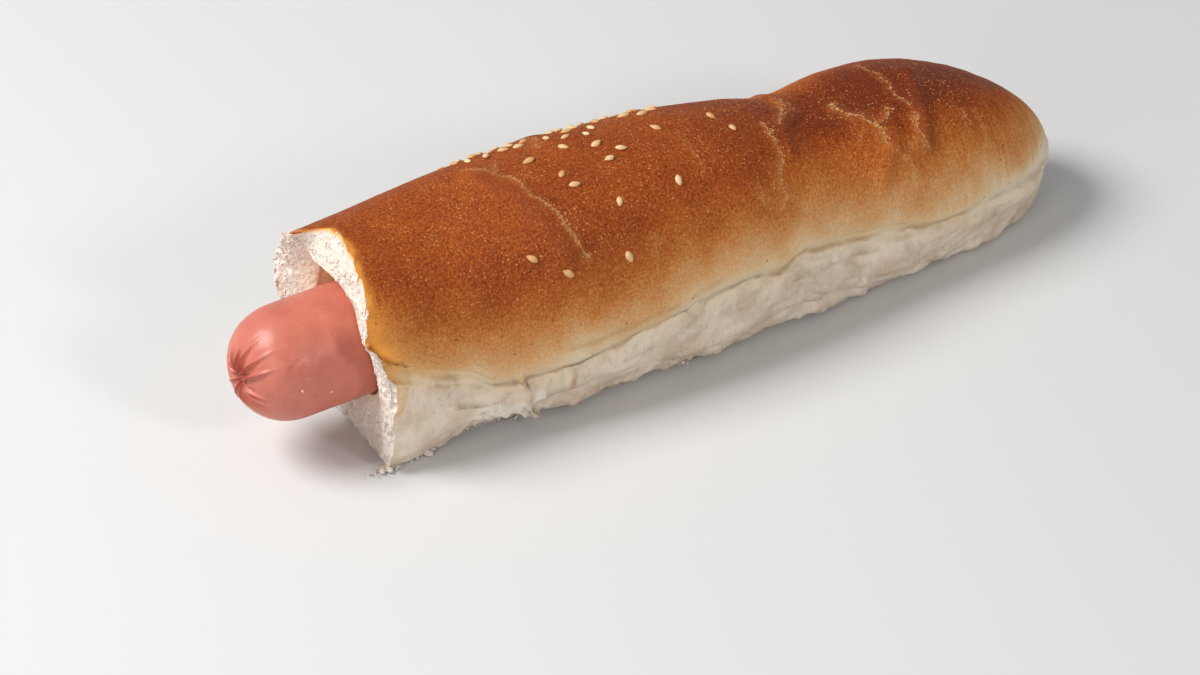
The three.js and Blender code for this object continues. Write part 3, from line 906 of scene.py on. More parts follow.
def crustMaterial(attributes):
    # Enriched bread crust, egg washed and baked: satin brown on the crest, matte and floury at the base
    material, tree = newMaterial("baked_bread_crust")
    position = addNode(tree, "ShaderNodeTexCoord", output="Object")
    made = {}
    for key in attributes:
        made[key] = addNode(tree, "ShaderNodeAttribute", {"attribute_name": key}, output="Fac")
    for key, noise in crustNoise.items():
        made[key] = addNode(tree, "ShaderNodeTexNoise", None,
                            {"Vector": position, "Scale": patternScale(crustPattern[key]), **noise})
    shortArc = addNode(tree, "ShaderNodeMath", product, {0: made["arc"], 1: 0.1})
    lengthways = addNode(tree, "ShaderNodeCombineXYZ", None, {"X": made["along"], "Y": shortArc})
    made["streak"] = addNode(tree, "ShaderNodeTexNoise", None,
                             {"Vector": lengthways, "Scale": 1 / crustPattern["streak"], "Detail": 3.0})
    fibrePlace = addNode(tree, "ShaderNodeMapping", {"vector_type": "POINT"},
                         {"Vector": position, "Rotation": (0.0, 0.35, 0.0), "Scale": (1.0, 0.8, 0.55)})
    made["fibres"] = addNode(tree, "ShaderNodeTexNoise", None, {
        "Vector": fibrePlace, "Scale": patternScale(crustPattern["fibre"]),
        "Detail": 5.0, "Roughness": 0.65,
    })
    fleckScale = patternScale(crustPattern["fleckCell"])
    bent = addNode(tree, "ShaderNodeTexNoise", None,
                   {"Vector": position, "Scale": fleckScale, "Detail": 2.0}, "Color")
    fleckPlace = addNode(tree, "ShaderNodeMix", {"data_type": "VECTOR"},
                         {"Factor": crustPattern["fleckWander"] * millimetre, 4: position, 5: bent}, 1)
    for key, place, scale in (("fleck", fleckPlace, fleckScale),
                              ("pin", position, patternScale(crustPattern["pinCell"]))):
        away = addNode(tree, "ShaderNodeTexVoronoi", None, {"Vector": place, "Scale": scale})
        made[key + "Away"] = away
        made[key + "Draw"] = away.node.outputs["Color"]

    for name, action, *terms in crustSteps:
        terms = [made.get(term, term) for term in terms]
        if "range" in action:
            curve = "SMOOTHSTEP" if "smooth" in action else "LINEAR"
            sockets = dict(zip(("Value", "From Min", "From Max", "To Min", "To Max"), terms))
            made[name] = addNode(tree, "ShaderNodeMapRange", {"interpolation_type": curve}, sockets)
        else:
            made[name] = addNode(tree, "ShaderNodeMath", {"operation": action}, dict(enumerate(terms)))

    shade, light = hexColor(crustColors["bandShade"]), hexColor(crustColors["band"])
    made["bandTone"] = addNode(tree, "ShaderNodeMix", colorMix,
                               {"Factor": made["bandPatches"], 6: shade, 7: light}, 2)
    color = addNode(tree, "ShaderNodeValToRGB", None, {"Fac": made["tone"]})
    setRamp(color, crustColors["ramp"])
    for name, over, strength in crustLayers:
        weight = addNode(tree, "ShaderNodeMath", product, {0: made[name], 1: strength})
        over = made[over] if over in made else hexColor(over)
        color = addNode(tree, "ShaderNodeMix", colorMix, {"Factor": weight, 6: color, 7: over}, 2)

    bump = addNode(tree, "ShaderNodeBump", None,
                   {"Height": made["height"], "Strength": 0.8, "Distance": 0.0004})
    shader = addNode(tree, "ShaderNodeBsdfPrincipled", None, {
        "Base Color": color, "Roughness": made["roughness"], "Normal": bump,
        "IOR": 1.45, "Specular IOR Level": 0.22, "Subsurface Weight": 0.05, "Subsurface Scale": 0.0015,
    })
    addNode(tree, "ShaderNodeOutputMaterial", None, {"Surface": shader})
    return material


bunCrust, crustAttributes, tornRing = buildCrust()
dress(bunCrust, crustMaterial(crustAttributes), "bun_crust", "bun")
print("crust made")


# Crumb: the torn face and the pocket's lining

restGap = 0.05                # crumb stays at least this far above the level it stands on
crumbMesh = {"faceRings": 76, "pocketRings": 50, "endRings": 8}
crumbForm = {
    "bulge": 1.6,             # the soft crumb swells past the crust's edge
    "fluff": 0.8,             # relief of the torn surface
    "fluffSize": 3.4,
    "poreSize": 1.0,
    "evenOver": 14,           # columns on each side that the edge is evened over
    "backReach": 3.6,         # the crumb tore further out at the back
    "backAngle": 28.0,
    "backSpread": 30.0,
    "clearBy": 0.25,          # least gap between the lining and the sausage
    "clearBetween": (12 - sausage["reach"], 110),
}


def crumbGrid():
    # each column runs from the crust's torn edge to the mouth at the same angle round the sausage
    nextRing = np.roll(tornRing, -1, axis=0)
    edge = np.stack([tornRing, (tornRing + nextRing) / 2], 1).reshape(-1, 3)
    columns = len(edge)
    # the crust's raggedness ends just inside the edge
    reach = range(-crumbForm["evenOver"], crumbForm["evenOver"] + 1)
    even = np.mean([np.roll(edge, step, axis=0) for step in reach], axis=0)
    centre = np.array([0, sausage["shift"], sausage["height"]])
    outward = edge - centre
    degrees = np.arctan2(outward[:, 2], outward[:, 1]) / radian
    mouthX = around(pocket["mouthEdge"], degrees)
    mouth = pocketPoint(degrees, mouthX, 1.0, 0.0)
    rows, share = [], []
    for k in range(crumbMesh["faceRings"] + 1):
        t = k / crumbMesh["faceRings"]
        rows.append(even * (1 - t) + mouth * t + (edge - even) * bell(t, 0.06))
        share.append(np.full(columns, t))
    start = mouthX
    stop = pocket["end"] - sausage["radius"]
    for k in range(1, crumbMesh["pocketRings"] + 1):
        t = (k / crumbMesh["pocketRings"]) ** 2.2
        x = start + (stop - start) * t
        rows.append(pocketPoint(degrees, x, 1.0, x - start))
        share.append(1 + (x - start))
    for k in range(1, crumbMesh["endRings"]):
        swing = math.pi / 2 * k / crumbMesh["endRings"]
        x = np.full(columns, stop + sausage["radius"] * math.sin(swing))
        rows.append(pocketPoint(degrees, x, math.cos(swing), x))
        share.append(1 + (x - start))
    return np.array(rows), np.array(share), degrees


def buildCrumb():
    grid, share, degrees = crumbGrid()
    normals = gridNormals(grid, -1)
    # the torn face points out of the bun
    blend = smoothStep(2.5, 0.0, np.maximum(share - 1, 0))[..., None]
    normals = normals * (1 - 0.55 * blend) + np.array([-0.55, 0, 0]) * blend
    normals = normals / np.linalg.norm(normals, axis=-1, keepdims=True)
    onFace = np.clip(share, 0, 1)
    aboveFold = bell(turnFrom(degrees, 78), 85) ** 2
    depth = np.maximum(share - 1, 0)
    hump = np.sin(math.pi * onFace) ** 0.6
    size = crumbForm["fluffSize"]
    puffs = 1.8 * np.sqrt(softNoise(grid, size * 0.6, 1.3) ** 2 + 0.02) - 0.5
    fluff = crumbForm["fluff"] * (0.7 * layeredNoise(grid, size, 2, 4.0) + puffs)
    fluff = fluff + 0.3 * layeredNoise(grid, 1.3, 2, 5.0)
    backGap = turnFrom(degrees, crumbForm["backAngle"])
    reach = crumbForm["backReach"] * bell(backGap, crumbForm["backSpread"])
    reach = reach * (0.75 + 0.5 * softNoise(grid, 4.0, 8.8) + 0.45 * layeredNoise(grid, 1.9, 2, 3.8))
    fade = bell(depth, 1.3)
    relief = hump * fade * (fluff + crumbForm["bulge"] + reach)
    inside = 0.15 * np.abs(layeredNoise(grid, 2.5, 2, 2.0)) * smoothStep(0.5, 3.0, depth)
    moved = grid + normals * (relief - inside)[..., None]
    # the lining never reaches into the sausage's straight part
    low, high = crumbForm["clearBetween"]
    clearSausage(moved, crumbForm["clearBy"], (moved[..., 0] > low) & (moved[..., 0] < high))
    moved[..., 2] = np.maximum(moved[..., 2], restGap)
    rings, columns = grid.shape[:2]
    pole = moved[-1].mean(axis=0)
    points = np.concatenate([moved.reshape(-1, 3), pole[None]])
    triangles = fan(rings * columns, (rings - 1) * columns, columns)
    # the lining: the pressed crumb's cream, made paler than the face as painted light in the shaded pocket
    litLining = 0.4 * smoothStep(0.75, 1.0, onFace) + 0.6 * smoothStep(0.3, 2.5, depth)
    values = {
        "rind": np.append(bell(share, 0.035) * aboveFold, 0),
        "litLining": np.append(litLining, 1),
        # painted shade in the hollows of the torn surface
        "hollowShade": np.append(np.clip(-fluff, 0, 2) * fade * hump, 0),
    }
    piece = makeMesh("bun_crumb", points, gridFaces(rings, columns), triangles, values)
    face = crumbMesh["faceRings"] + 1
    return piece, moved[:face], normals[:face]


# the hollows' tone is painted shade
crumbColors = {
    # the lining's cream is its real tone made paler as painted light
    "white": "#e0d4c9", "shade": "#d4c6b8", "hollowShade": "#e6cfa8", "litLining": "#f8e4b4", "rind": "#e8a353",
}


def crumbMaterial():
    # Soft white crumb, torn not cut: quite matte and fluffy, with no shine at all
    material, tree = newMaterial("torn_white_crumb")
    position = addNode(tree, "ShaderNodeTexCoord", output="Object")
    pores = addNode(tree, "ShaderNodeTexNoise", None, {
        "Vector": position, "Scale": patternScale(crumbForm["poreSize"]), "Detail": 1.5,
    })
    color = addNode(tree, "ShaderNodeValToRGB", None, {"Fac": pores})
    setRamp(color, [(0.32, crumbColors["shade"]), (0.55, crumbColors["white"])])
    # painted shade in the hollows, painted light on the lining, over the crumb's own colours
    for key, strength in (("hollowShade", 0.35), ("litLining", 1.0), ("rind", 1.0)):
        where = addNode(tree, "ShaderNodeAttribute", {"attribute_name": key}, output="Fac")
        amount = addNode(tree, "ShaderNodeMath", product, {0: where, 1: strength})
        over = hexColor(crumbColors[key])
        color = addNode(tree, "ShaderNodeMix", colorMix, {"Factor": amount, 6: color, 7: over}, 2)
    bump = addNode(tree, "ShaderNodeBump", None, {"Height": pores, "Strength": 0.65, "Distance": 0.0006})
    shader = addNode(tree, "ShaderNodeBsdfPrincipled", None, {
        "Base Color": color, "Normal": bump, "Roughness": 0.95, "IOR": 1.4, "Specular IOR Level": 0.1,
    })
    addNode(tree, "ShaderNodeOutputMaterial", None, {"Surface": shader})
    return material


bunCrumb, facePoints, faceNormals = buildCrumb()
tornCrumb = crumbMaterial()
dress(bunCrumb, tornCrumb, "bun_crust", "bun")
print("crumb made")


# Loose tufts that still cling to the torn face and to the base's edge

tufts = {
    "onFace": 1300, "faceLow": 0.0, "faceHigh": 0.7,
    "alongEdge": 700, "edgeFrom": 230.5, "edgeTurn": 5.0,     # how many, and at which angles
    "small": 0.3, "large": 0.7, "seed": 9114,
    "clearBy": 0.2,           # least gap to the sausage
    # crumbs stuck to the sausage: place along it, angle and size
    "onSausage": [(-17.3, 175.4, 0.6), (-9.9, 187.7, 0.55)],
}
# where the base's edge is most torn: place along the bun, reach and share of the tufts
tornEdges = [(1, 2.2, 0.30), (10.5, 2.2, 0.12), (24, 3.0, 0.16), (33, 4.0, 0.24), (80, 1.2, 0.05),
             (128, 1.6, 0.05), (150, 2.4, 0.08)]
# flakes that stick out where they were seen: place along the bun, angle, length, turn in degrees
flakes = [
    (-0.6, 228, 2.4, 245), (0.8, 228, 3.0, 262), (2.4, 228, 2.2, 300), (10.6, 228, 3.2, 300),
    (9.2, 229, 2.2, 240), (12.2, 228, 1.8, 320), (79.0, 228, 2.0, 280), (128.2, 228, 2.2, 290),
    (24.0, 228, 1.6, 250), (31.0, 228, 1.8, 300), (41.0, 228, 1.5, 260),
    (0.7, 47, 2.2, 165), (0.4, 36, 2.6, 190), (0.9, 41, 1.8, 150), (0.0, 24, 2.4, 185),
    (-0.3, 30, 1.8, 205),
]


def edgePoint(x, degrees):
    point = skinPoint(np.array([float(x)]), np.array([float(degrees)]))
    return liftBase(point, degrees)[0]


def tuftShape():              # a small ball of faces to be pushed out of shape
    form = bmesh.new()
    bmesh.ops.create_icosphere(form, subdivisions=2, radius=1.0)
    points = np.array([vertex.co[:] for vertex in form.verts])
    triangles = np.array([[vertex.index for vertex in face.verts] for face in form.faces])
    form.free()
    return points, triangles


def lump(ball, rough, size, shift):       # the ball pushed out of shape
    return ball * (1 + rough * softNoise(ball * size + shift, 1.0))[:, None]


def buildTufts():
    draw = np.random.default_rng(tufts["seed"])
    ball, triangles = tuftShape()
    spread = tufts["large"] - tufts["small"]
    spots, sizes, stretch = [], [], []
    rings, columns = facePoints.shape[:2]
    # spread by a ring's length, as its columns are closer together on the crest
    ring = facePoints[rings // 3]
    weights = np.linalg.norm(np.roll(ring, -1, axis=0) - ring, axis=-1)
    chosen = draw.choice(columns, tufts["onFace"], p=weights / weights.sum())
    for column in chosen:
        share = draw.uniform(tufts["faceLow"], tufts["faceHigh"])
        point = facePoints[int(share * rings), column]
        spots.append(point + faceNormals[int(share * rings), column] * draw.uniform(-0.15, 0.05))
        sizes.append(tufts["small"] + spread * draw.random() ** 2)
        stretch.append(1.5)
    places = draw.choice(len(tornEdges), tufts["alongEdge"], p=[one[2] for one in tornEdges])
    for place in places:
        x = tornEdges[place][0] + draw.normal() * tornEdges[place][1]
        degrees = tufts["edgeFrom"] - tufts["edgeTurn"] * draw.random()
        point = edgePoint(x, degrees)
        point[2] = max(point[2] + draw.normal() * 0.4, 0.35)
        spots.append(point + np.array([0, draw.normal() * 0.5, 0]))
        sizes.append(tufts["small"] + spread * 0.6 * draw.random() ** 2)
        stretch.append(2.0)
    allPoints, allTriangles = [], []
    for k, (spot, size, long) in enumerate(zip(spots, sizes, stretch)):
        lumpy = lump(ball, 0.45, 1.3, 9.0 * k)
        turn = np.array(Matrix.Rotation(draw.uniform(0, 2 * math.pi), 3, Vector(draw.normal(size=3))))
        lumpy = (lumpy * (draw.uniform(0.8, long), 1.0, 0.7)) @ turn.T
        allPoints.append(spot + lumpy * size * 0.5)
        allTriangles.append(triangles + k * len(ball))
    count = len(spots)
    for k, (x, degrees, length, heading) in enumerate(flakes):
        lumpy = lump(ball, 0.4, 1.1, 5.0 * k) * (length / 2, length / 3.6, length / 5)
        turn = np.array(Matrix.Rotation(heading * radian, 3, "Z"))
        outside = (lumpy + (length * 0.35, 0, 0)) @ turn.T
        allPoints.append(edgePoint(x, degrees) + np.array([0, 0, 0.4]) + outside)
        allTriangles.append(triangles + (count + k) * len(ball))
    points = np.concatenate(allPoints)
    points[:, 2] = np.maximum(points[:, 2], restGap)
    for k, (x, degrees, size) in enumerate(tufts["onSausage"]):
        lumpy = lump(ball, 0.4, 1.1, 3.0 * k) * size / 2
        allTriangles.append(triangles + len(points))
        spot = aroundSausage(x, degrees, sausage["radius"] + tufts["clearBy"])
        points = np.concatenate([points, spot + lumpy])
    clearSausage(points, tufts["clearBy"])
    return makeMesh("crumb_tufts", points, np.zeros((0, 4), int), np.concatenate(allTriangles))


dress(buildTufts(), tornCrumb, "bun_crust", "bun")
print("tufts made")


# Sausage: a smooth cooked skin, gathered to a pinch at each end

# Folds that run out from the pinch: angle round the end, length, depth
gathers = [
    (6, 5.5, 0.6), (34, 6.0, 0.7), (62, 8.0, 0.9), (86, 8.6, 1.0), (104, 10.5, 1.25), (126, 11.0, 1.3),
    (148, 10.6, 1.2), (172, 5.5, 0.6), (190, 9.0, 0.95), (204, 10.0, 1.0), (219, 9.5, 0.9), (236, 8.0, 0.8),
    (258, 7.0, 0.7), (287, 6.5, 0.7), (325, 6.0, 0.65),
]
sausageMesh = {
    "columns": 320, "noseRings": 90, "bodyRings": 70,
    "gatherWidth": 0.27, "gatherBend": 4.0,
    "scarPlace": -17.5, "scarAngle": 148.0, "scarReach": 1.6,     # a small rough dent in the skin
}


def noseProfile(count):
    swing = (math.pi / 2) * (np.arange(1, count + 1) / count) ** 1.15
    radius = sausage["radius"] * np.sin(swing) ** (2 / sausage["nosePower"])
    depth = sausage["radius"] * (1 - np.cos(swing) ** (2 / sausage["nosePower"]))
    return radius, depth + sausage["dimpleDepth"] * bell(radius, sausage["dimpleWidth"])


def buildSausage():
    radius, depth = noseProfile(sausageMesh["noseRings"])
    tip = -sausage["reach"]
    tail = sausage["length"] - sausage["reach"]
    bodyStart = tip + depth[-1]
    bodyEnd = tail - depth[-1]
    step = (np.arange(1, sausageMesh["bodyRings"]) / sausageMesh["bodyRings"]) ** 1.5
    bodyX = bodyStart + (bodyEnd - bodyStart) * step
    ringPlaces = np.concatenate([tip + depth, bodyX, (tail - depth)[::-1]])
    ringRadii = np.concatenate([radius, np.full(len(bodyX), sausage["radius"]), radius[::-1]])
    turn = np.arange(sausageMesh["columns"]) / sausageMesh["columns"] * 360.0
    x = np.repeat(ringPlaces[:, None], len(turn), 1)
    ringRadius = np.repeat(ringRadii[:, None], len(turn), 1)
    degrees = np.repeat(turn[None], len(ringPlaces), 0)
    crease = np.zeros(x.shape)
    sink = np.zeros(x.shape)
    for angle, length, deep in gathers:
        # the sine of its number of degrees gives each fold a bend of its own
        bend = sausageMesh["gatherBend"] * np.sin(angle) * (ringRadius / sausage["radius"]) ** 2
        gap = turnFrom(degrees, angle + bend) * radian * ringRadius
        window = smoothStep(0.2, 1.4, ringRadius) * smoothStep(length + 1.5, length * 0.45, ringRadius)
        window = np.where((x < bodyStart) | (x > bodyEnd), window, 0)
        width = sausageMesh["gatherWidth"] + 0.016 * ringRadius
        sink = sink + 1.25 * deep * window * (bell(gap, width) - 0.3 * bell(gap, 3.2 * width))
        # painted shade in the groove of each fold
        crease = np.maximum(crease, window * bell(gap, sausageMesh["gatherWidth"] * 0.7))
    grid = aroundSausage(x, degrees, ringRadius)
    normals = gridNormals(grid, 1)
    relief = -sink + 0.10 * softNoise(grid, 9.0) + 0.05 * softNoise(grid, 3.0, 4.0)
    scar = aroundSausage(sausageMesh["scarPlace"], sausageMesh["scarAngle"], sausage["radius"])
    fromScar = np.linalg.norm((grid - scar) * (0.6, 1, 1), axis=-1)
    rough = 0.34 * layeredNoise(grid, 1.3, 2, 7.0) - 0.12
    relief = relief + bell(fromScar, sausageMesh["scarReach"]) * rough
    moved = grid + normals * relief[..., None]
    rings, columns = x.shape
    poles = np.stack([moved[0].mean(axis=0), moved[-1].mean(axis=0)])
    points = np.concatenate([moved.reshape(-1, 3), poles])
    front = fan(rings * columns, 0, columns, flip=True)
    back = fan(rings * columns + 1, (rings - 1) * columns, columns)
    values = {"crease": np.append(crease.ravel(), [1, 1])}
    return makeMesh("sausage_skin", points, gridFaces(rings, columns),
                    np.concatenate([front, back]), values)


# crease is painted shade in the folds at the pinch
sausageColors = {"skin": "#c9725e", "deep": "#bd6755", "crease": "#8e3526"}
sausagePattern = {"mottle": 5.0, "fine": 1.4}     # sizes in millimetres
# Specks in the skin: spacing in millimetres, share of it where a speck ends and starts, and colour
sausageSpecks = [
    {"spacing": 1.5, "from": 0.06, "to": 0.16, "color": "#e0a593", "inPatches": True},      # pale fat
    {"spacing": 3.2, "from": 0.04, "to": 0.1, "color": "#7c372b", "inPatches": False},      # pits
]


def sausageMaterial():
    # Scalded fine sausage in its skin: moist, smooth, light goes a few millimetres into the meat
    material, tree = newMaterial("scalded_sausage_skin")
    position = addNode(tree, "ShaderNodeTexCoord", output="Object")
    mottle, fine = [
        addNode(tree, "ShaderNodeTexNoise", None,
                {"Vector": position, "Scale": patternScale(size), "Detail": detail})
        for size, detail in ((sausagePattern["mottle"], 5.0), (sausagePattern["fine"], 4.0))
    ]
    patches = addNode(tree, "ShaderNodeMapRange", None,
                      {"Value": mottle, "From Min": 0.48, "From Max": 0.6})
    color = addNode(tree, "ShaderNodeValToRGB", None, {"Fac": mottle})
    setRamp(color, [(0.32, sausageColors["deep"]), (0.66, sausageColors["skin"])])
    layers = []
    for one in sausageSpecks:
        away = addNode(tree, "ShaderNodeTexVoronoi", None,
                       {"Vector": position, "Scale": patternScale(one["spacing"])})
        speck = addNode(tree, "ShaderNodeMapRange", None, {
            "Value": away, "From Min": one["from"], "From Max": one["to"], "To Min": 0.5, "To Max": 0.0,
        })
        where = patches if one["inPatches"] else 1.0
        here = addNode(tree, "ShaderNodeMath", product, {0: speck, 1: where})
        layers.append((here, hexColor(one["color"])))
    crease = addNode(tree, "ShaderNodeAttribute", {"attribute_name": "crease"}, output="Fac")
    for amount, over in layers + [(crease, hexColor(sausageColors["crease"]))]:
        color = addNode(tree, "ShaderNodeMix", colorMix, {"Factor": amount, 6: color, 7: over}, 2)
    bump = addNode(tree, "ShaderNodeBump", None, {"Height": fine, "Strength": 0.3, "Distance": 0.0003})
    shader = addNode(tree, "ShaderNodeBsdfPrincipled", None, {
        "Base Color": color, "Normal": bump, "Roughness": 0.5, "IOR": 1.42,
        "Subsurface Weight": 0.16, "Subsurface Scale": 0.002, "Subsurface Radius": (1.0, 0.45, 0.3),
        "Coat Weight": 0.26, "Coat Roughness": 0.28,
    })
    addNode(tree, "ShaderNodeOutputMaterial", None, {"Surface": shader})
    return material


dress(buildSausage(), sausageMaterial(), "sausage_skin", "sausage")
print("sausage made")


# Sesame seeds on the crest, strays down the front

seeds = {
    "length": 3.1, "width": 1.9, "thickness": 1.1,
    "lift": 0.22,                   # of the thickness, from the skin to the seed's middle
    "count": 92,
    "from": 42.0, "to": 97.0,       # the sprinkled band along the crest
    "angle": 48.0, "spread": 15.0, "frontLimit": 66.0,
    "spacing": 3.4,
    "tilt": 0.07, "sizeSpread": 0.09, "seed": 2711,
    "rings": 9, "sides": 12,
}
straySeeds = [                      # place along the bun, angle round it, heading
    (39.7, 135.5, 135), (46.9, 146.6, 140), (62.7, 148.2, -70), (65.6, 123.6, -115), (82.1, 122.2, -100),
    (58.4, 108.6, -10), (57.7, 100.1, 45), (70.6, 99.2, -170), (71.5, 85.8, 20), (75.5, 94.3, -25),
    (64.3, 80.9, -55), (54.1, 83.7, -175), (57.1, 66.1, 10), (72.4, 74.3, 105), (87.7, 85.6, 125),
    (103.7, 84.4, -75), (105.5, 98.3, -100), (67.9, 71.3, 10), (75.5, 68.7, 105), (90.2, 67.1, 5),
]
seedDraw = {"state": 20517, "factor": 1664525, "step": 1013904223, "modulus": 4294967296}


def nextDraw():                     # the rule the solid's seeds are sprinkled by
    seedDraw["state"] = (seedDraw["state"] * seedDraw["factor"] + seedDraw["step"]) % seedDraw["modulus"]
    return seedDraw["state"] / seedDraw["modulus"]


def seedShape():                    # a flat drop, pointed at one end
    t = np.linspace(0, 1, seeds["rings"] + 2)[1:-1]
    drop = np.sin(math.pi * t) ** 0.75 * (1.12 - 0.5 * t)
    angle = np.arange(seeds["sides"]) * 2 * math.pi / seeds["sides"]
    long = (t - 0.5) * seeds["length"]
    ring = np.stack([
        np.repeat(long[:, None], len(angle), 1),
        drop[:, None] * np.cos(angle) * seeds["width"] / 2,
        drop[:, None] * np.sin(angle) * seeds["thickness"] / 2 * (1 - 0.12 * np.cos(2 * angle)),
    ], -1)
    ends = np.array([[-seeds["length"] / 2, 0, 0], [seeds["length"] / 2, 0, 0]])
    points = np.concatenate([ring.reshape(-1, 3), ends])
    quads = gridFaces(len(t), len(angle), flip=True)
    first = fan(len(points) - 2, 0, len(angle))
    final = fan(len(points) - 1, (len(t) - 1) * len(angle), len(angle), flip=True)
    tip = np.append(np.repeat(t, len(angle)), [0, 1])
    return points, quads, np.concatenate([first, final]), tip


def buildSeeds():
    draw = np.random.default_rng(seeds["seed"])
    places = [(x, degrees, heading * radian) for x, degrees, heading in straySeeds]
    spots = list(onSkin([one[:2] for one in places]))
    while len(places) < seeds["count"]:
        x = seeds["from"] + (seeds["to"] - seeds["from"]) * nextDraw()
        wander = (nextDraw() + nextDraw() + nextDraw() - 1.5) * 2 * seeds["spread"]
        degrees = seeds["angle"] + wander
        heading = 2 * math.pi * nextDraw()
        spot = skinPoint(np.array([x]), np.array([degrees]))[0]
        gap = min(np.linalg.norm(spot - one) for one in spots)
        if degrees < seeds["frontLimit"] and gap > seeds["spacing"]:
            places.append((x, degrees, heading))
            spots.append(spot)
    shape, quads, triangles, tip = seedShape()
    allPoints, allQuads, allTriangles, tints, tips = [], [], [], [], []
    for k, (x, degrees, heading) in enumerate(places):
        here = np.array([x]), np.array([degrees])
        point = skinPoint(*here)[0]
        along = (skinPoint(here[0] + 1, here[1]) - skinPoint(here[0] - 1, here[1]))[0]
        up = (skinPoint(here[0], here[1] + 2) - skinPoint(here[0], here[1] - 2))[0]
        out = np.cross(up, along)
        out = out / np.linalg.norm(out)
        along = along / np.linalg.norm(along)
        side = np.cross(out, along)
        long = along * math.cos(heading) + side * math.sin(heading)
        long = long + out * seeds["tilt"] * draw.normal()
        long = long / np.linalg.norm(long)
        wide = np.cross(out, long)
        wide = wide / np.linalg.norm(wide)
        normal = np.cross(long, wide)
        local = shape * (1.0 + seeds["sizeSpread"] * draw.normal())
        centre = point + out * seeds["thickness"] * seeds["lift"]
        placed = centre + local[:, :1] * long + local[:, 1:2] * wide + local[:, 2:] * normal
        allPoints.append(placed)
        allQuads.append(quads + k * len(shape))
        allTriangles.append(triangles + k * len(shape))
        tints.append(np.full(len(shape), draw.random()))
        tips.append(tip)
    values = {"tint": np.concatenate(tints), "tip": np.concatenate(tips)}
    return makeMesh("sesame_seeds", np.concatenate(allPoints), np.concatenate(allQuads),
                    np.concatenate(allTriangles), values)


seedColors = {"pale": "#e6c596", "toasted": "#cf9d62", "tip": "#b67b42"}


def seedMaterial():
    # Hulled sesame, toasted on the bun: smooth, waxy, pale gold with a darker tip
    material, tree = newMaterial("toasted_sesame")
    tint = addNode(tree, "ShaderNodeAttribute", {"attribute_name": "tint"}, output="Fac")
    tip = addNode(tree, "ShaderNodeAttribute", {"attribute_name": "tip"}, output="Fac")
    color = addNode(tree, "ShaderNodeValToRGB", None, {"Fac": tint})
    setRamp(color, [(0.1, seedColors["pale"]), (0.9, seedColors["toasted"])])
    tipShare = addNode(tree, "ShaderNodeMapRange", None, {
        "Value": tip, "From Min": 0.72, "From Max": 1.0, "To Min": 0.0, "To Max": 0.7,
    })
    over = hexColor(seedColors["tip"])
    color = addNode(tree, "ShaderNodeMix", colorMix, {"Factor": tipShare, 6: color, 7: over}, 2)
    shader = addNode(tree, "ShaderNodeBsdfPrincipled", None, {
        "Base Color": color, "Roughness": 0.42, "IOR": 1.47,
        "Subsurface Weight": 0.15, "Subsurface Scale": 0.001,
    })
    addNode(tree, "ShaderNodeOutputMaterial", None, {"Surface": shader})
    return material


dress(buildSeeds(), seedMaterial(), "bun_crust", "bun")
print("seeds made")


# Stage: a plain pale floor, soft studio light, and a camera at the photo's angle

studio = {
    "floorColor": "#d4d3d1",
    "floorSize": 6.0,
    "worldStrength": 0.3,
    # azimuth and elevation in degrees, distance and size in metres, power in watts
    "lights": {
        "key": (-115, 50, 1.2, 0.6, 15),
        "fill": (10, 30, 1.5, 0.25, 5),
        "left": (-62, 20, 1.5, 0.8, 4),
    },
}
view = {
    "azimuth": -33.5, "elevation": 34.5, "lens": 150.0, "sensor": 36.0,
    "width": 1200, "height": 675,
    "cornerPixel": (386, 472),        # where the bun's near front corner stands
    "corner": (0.0, -19.5, 0.0),      # and that corner in the bun's own numbers
    "distance": 1.134,
}


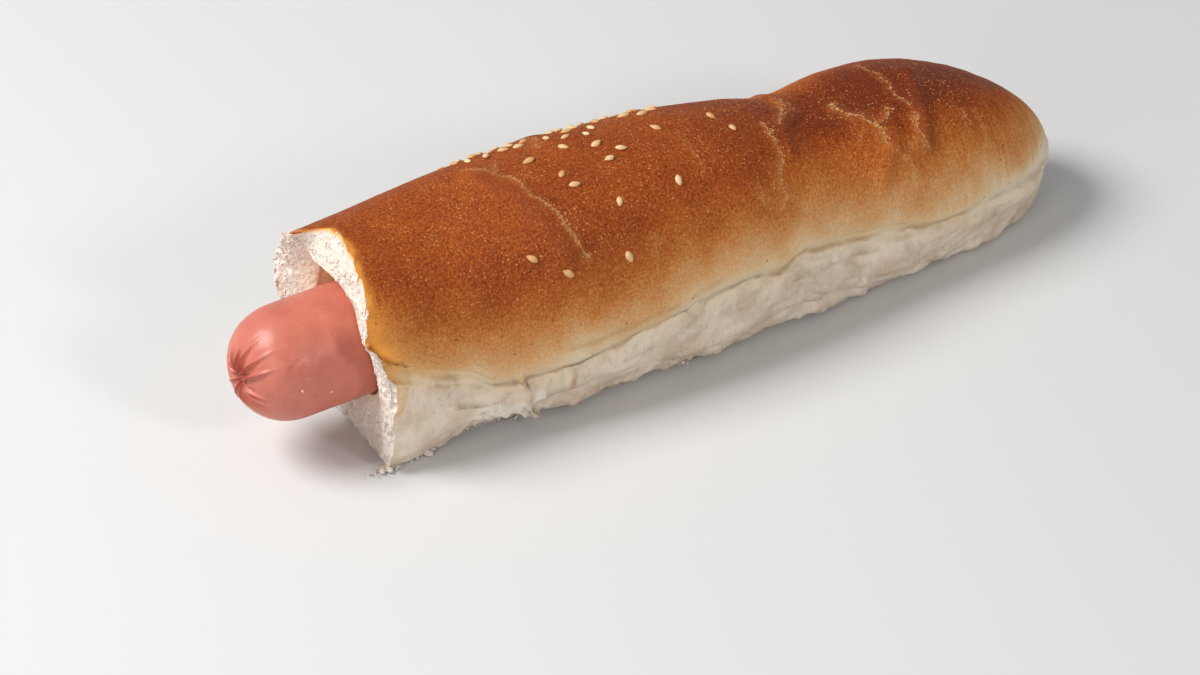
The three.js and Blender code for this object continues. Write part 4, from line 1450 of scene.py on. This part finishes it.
def outTo(azimuth, elevation):        # the direction from the bun to a place round it
    turn = azimuth * radian
    rise = elevation * radian
    return Vector((math.sin(turn) * math.cos(rise), -math.cos(turn) * math.cos(rise), math.sin(rise)))


def makeFloor():
    bpy.ops.mesh.primitive_plane_add(size=studio["floorSize"])
    floor = bpy.context.object
    floor.name = "floor"
    material, tree = newMaterial("matte_paper_backdrop")
    shader = addNode(tree, "ShaderNodeBsdfPrincipled", None, {
        "Base Color": hexColor(studio["floorColor"]), "Roughness": 0.9, "IOR": 1.45,
    })
    addNode(tree, "ShaderNodeOutputMaterial", None, {"Surface": shader})
    floor.data.materials.append(material)


def makeLight(name, azimuth, elevation, distance, size, power):
    data = bpy.data.lights.new(name, "AREA")
    data.shape = "DISK"
    data.size = size
    data.energy = power
    light = bpy.data.objects.new(name, data)
    back = outTo(azimuth, elevation)
    light.location = back * distance
    light.rotation_euler = back.to_track_quat("Z", "Y").to_euler()
    bpy.context.scene.collection.objects.link(light)


def makeWorld():
    world = bpy.data.worlds.new("studio")
    world.use_nodes = True
    background = world.node_tree.nodes["Background"]
    background.inputs["Color"].default_value = hexColor("#f4f6fa")
    background.inputs["Strength"].default_value = studio["worldStrength"]
    bpy.context.scene.world = world


def makeCamera():
    data = bpy.data.cameras.new("camera")
    data.lens = view["lens"]
    data.sensor_width = view["sensor"]
    camera = bpy.data.objects.new("camera", data)
    bpy.context.scene.collection.objects.link(camera)
    back = outTo(view["azimuth"], view["elevation"])
    right = Vector((math.cos(view["azimuth"] * radian), math.sin(view["azimuth"] * radian), 0))
    up = back.cross(right)
    focal = view["lens"] / view["sensor"] * view["width"]
    sideways = (view["cornerPixel"][0] - view["width"] / 2) / focal * view["distance"]
    upward = (view["height"] / 2 - view["cornerPixel"][1]) / focal * view["distance"]
    corner = (Vector(view["corner"]) + frameShift) * millimetre
    camera.location = corner - right * sideways - up * upward + back * view["distance"]
    turn = Matrix((right, up, back)).transposed()
    camera.rotation_euler = turn.to_euler()
    bpy.context.scene.camera = camera


makeFloor()
for name, settings in studio["lights"].items():
    makeLight(name, *settings)
makeWorld()
makeCamera()
bpy.context.scene.view_settings.view_transform = "Standard"
print("stage made")
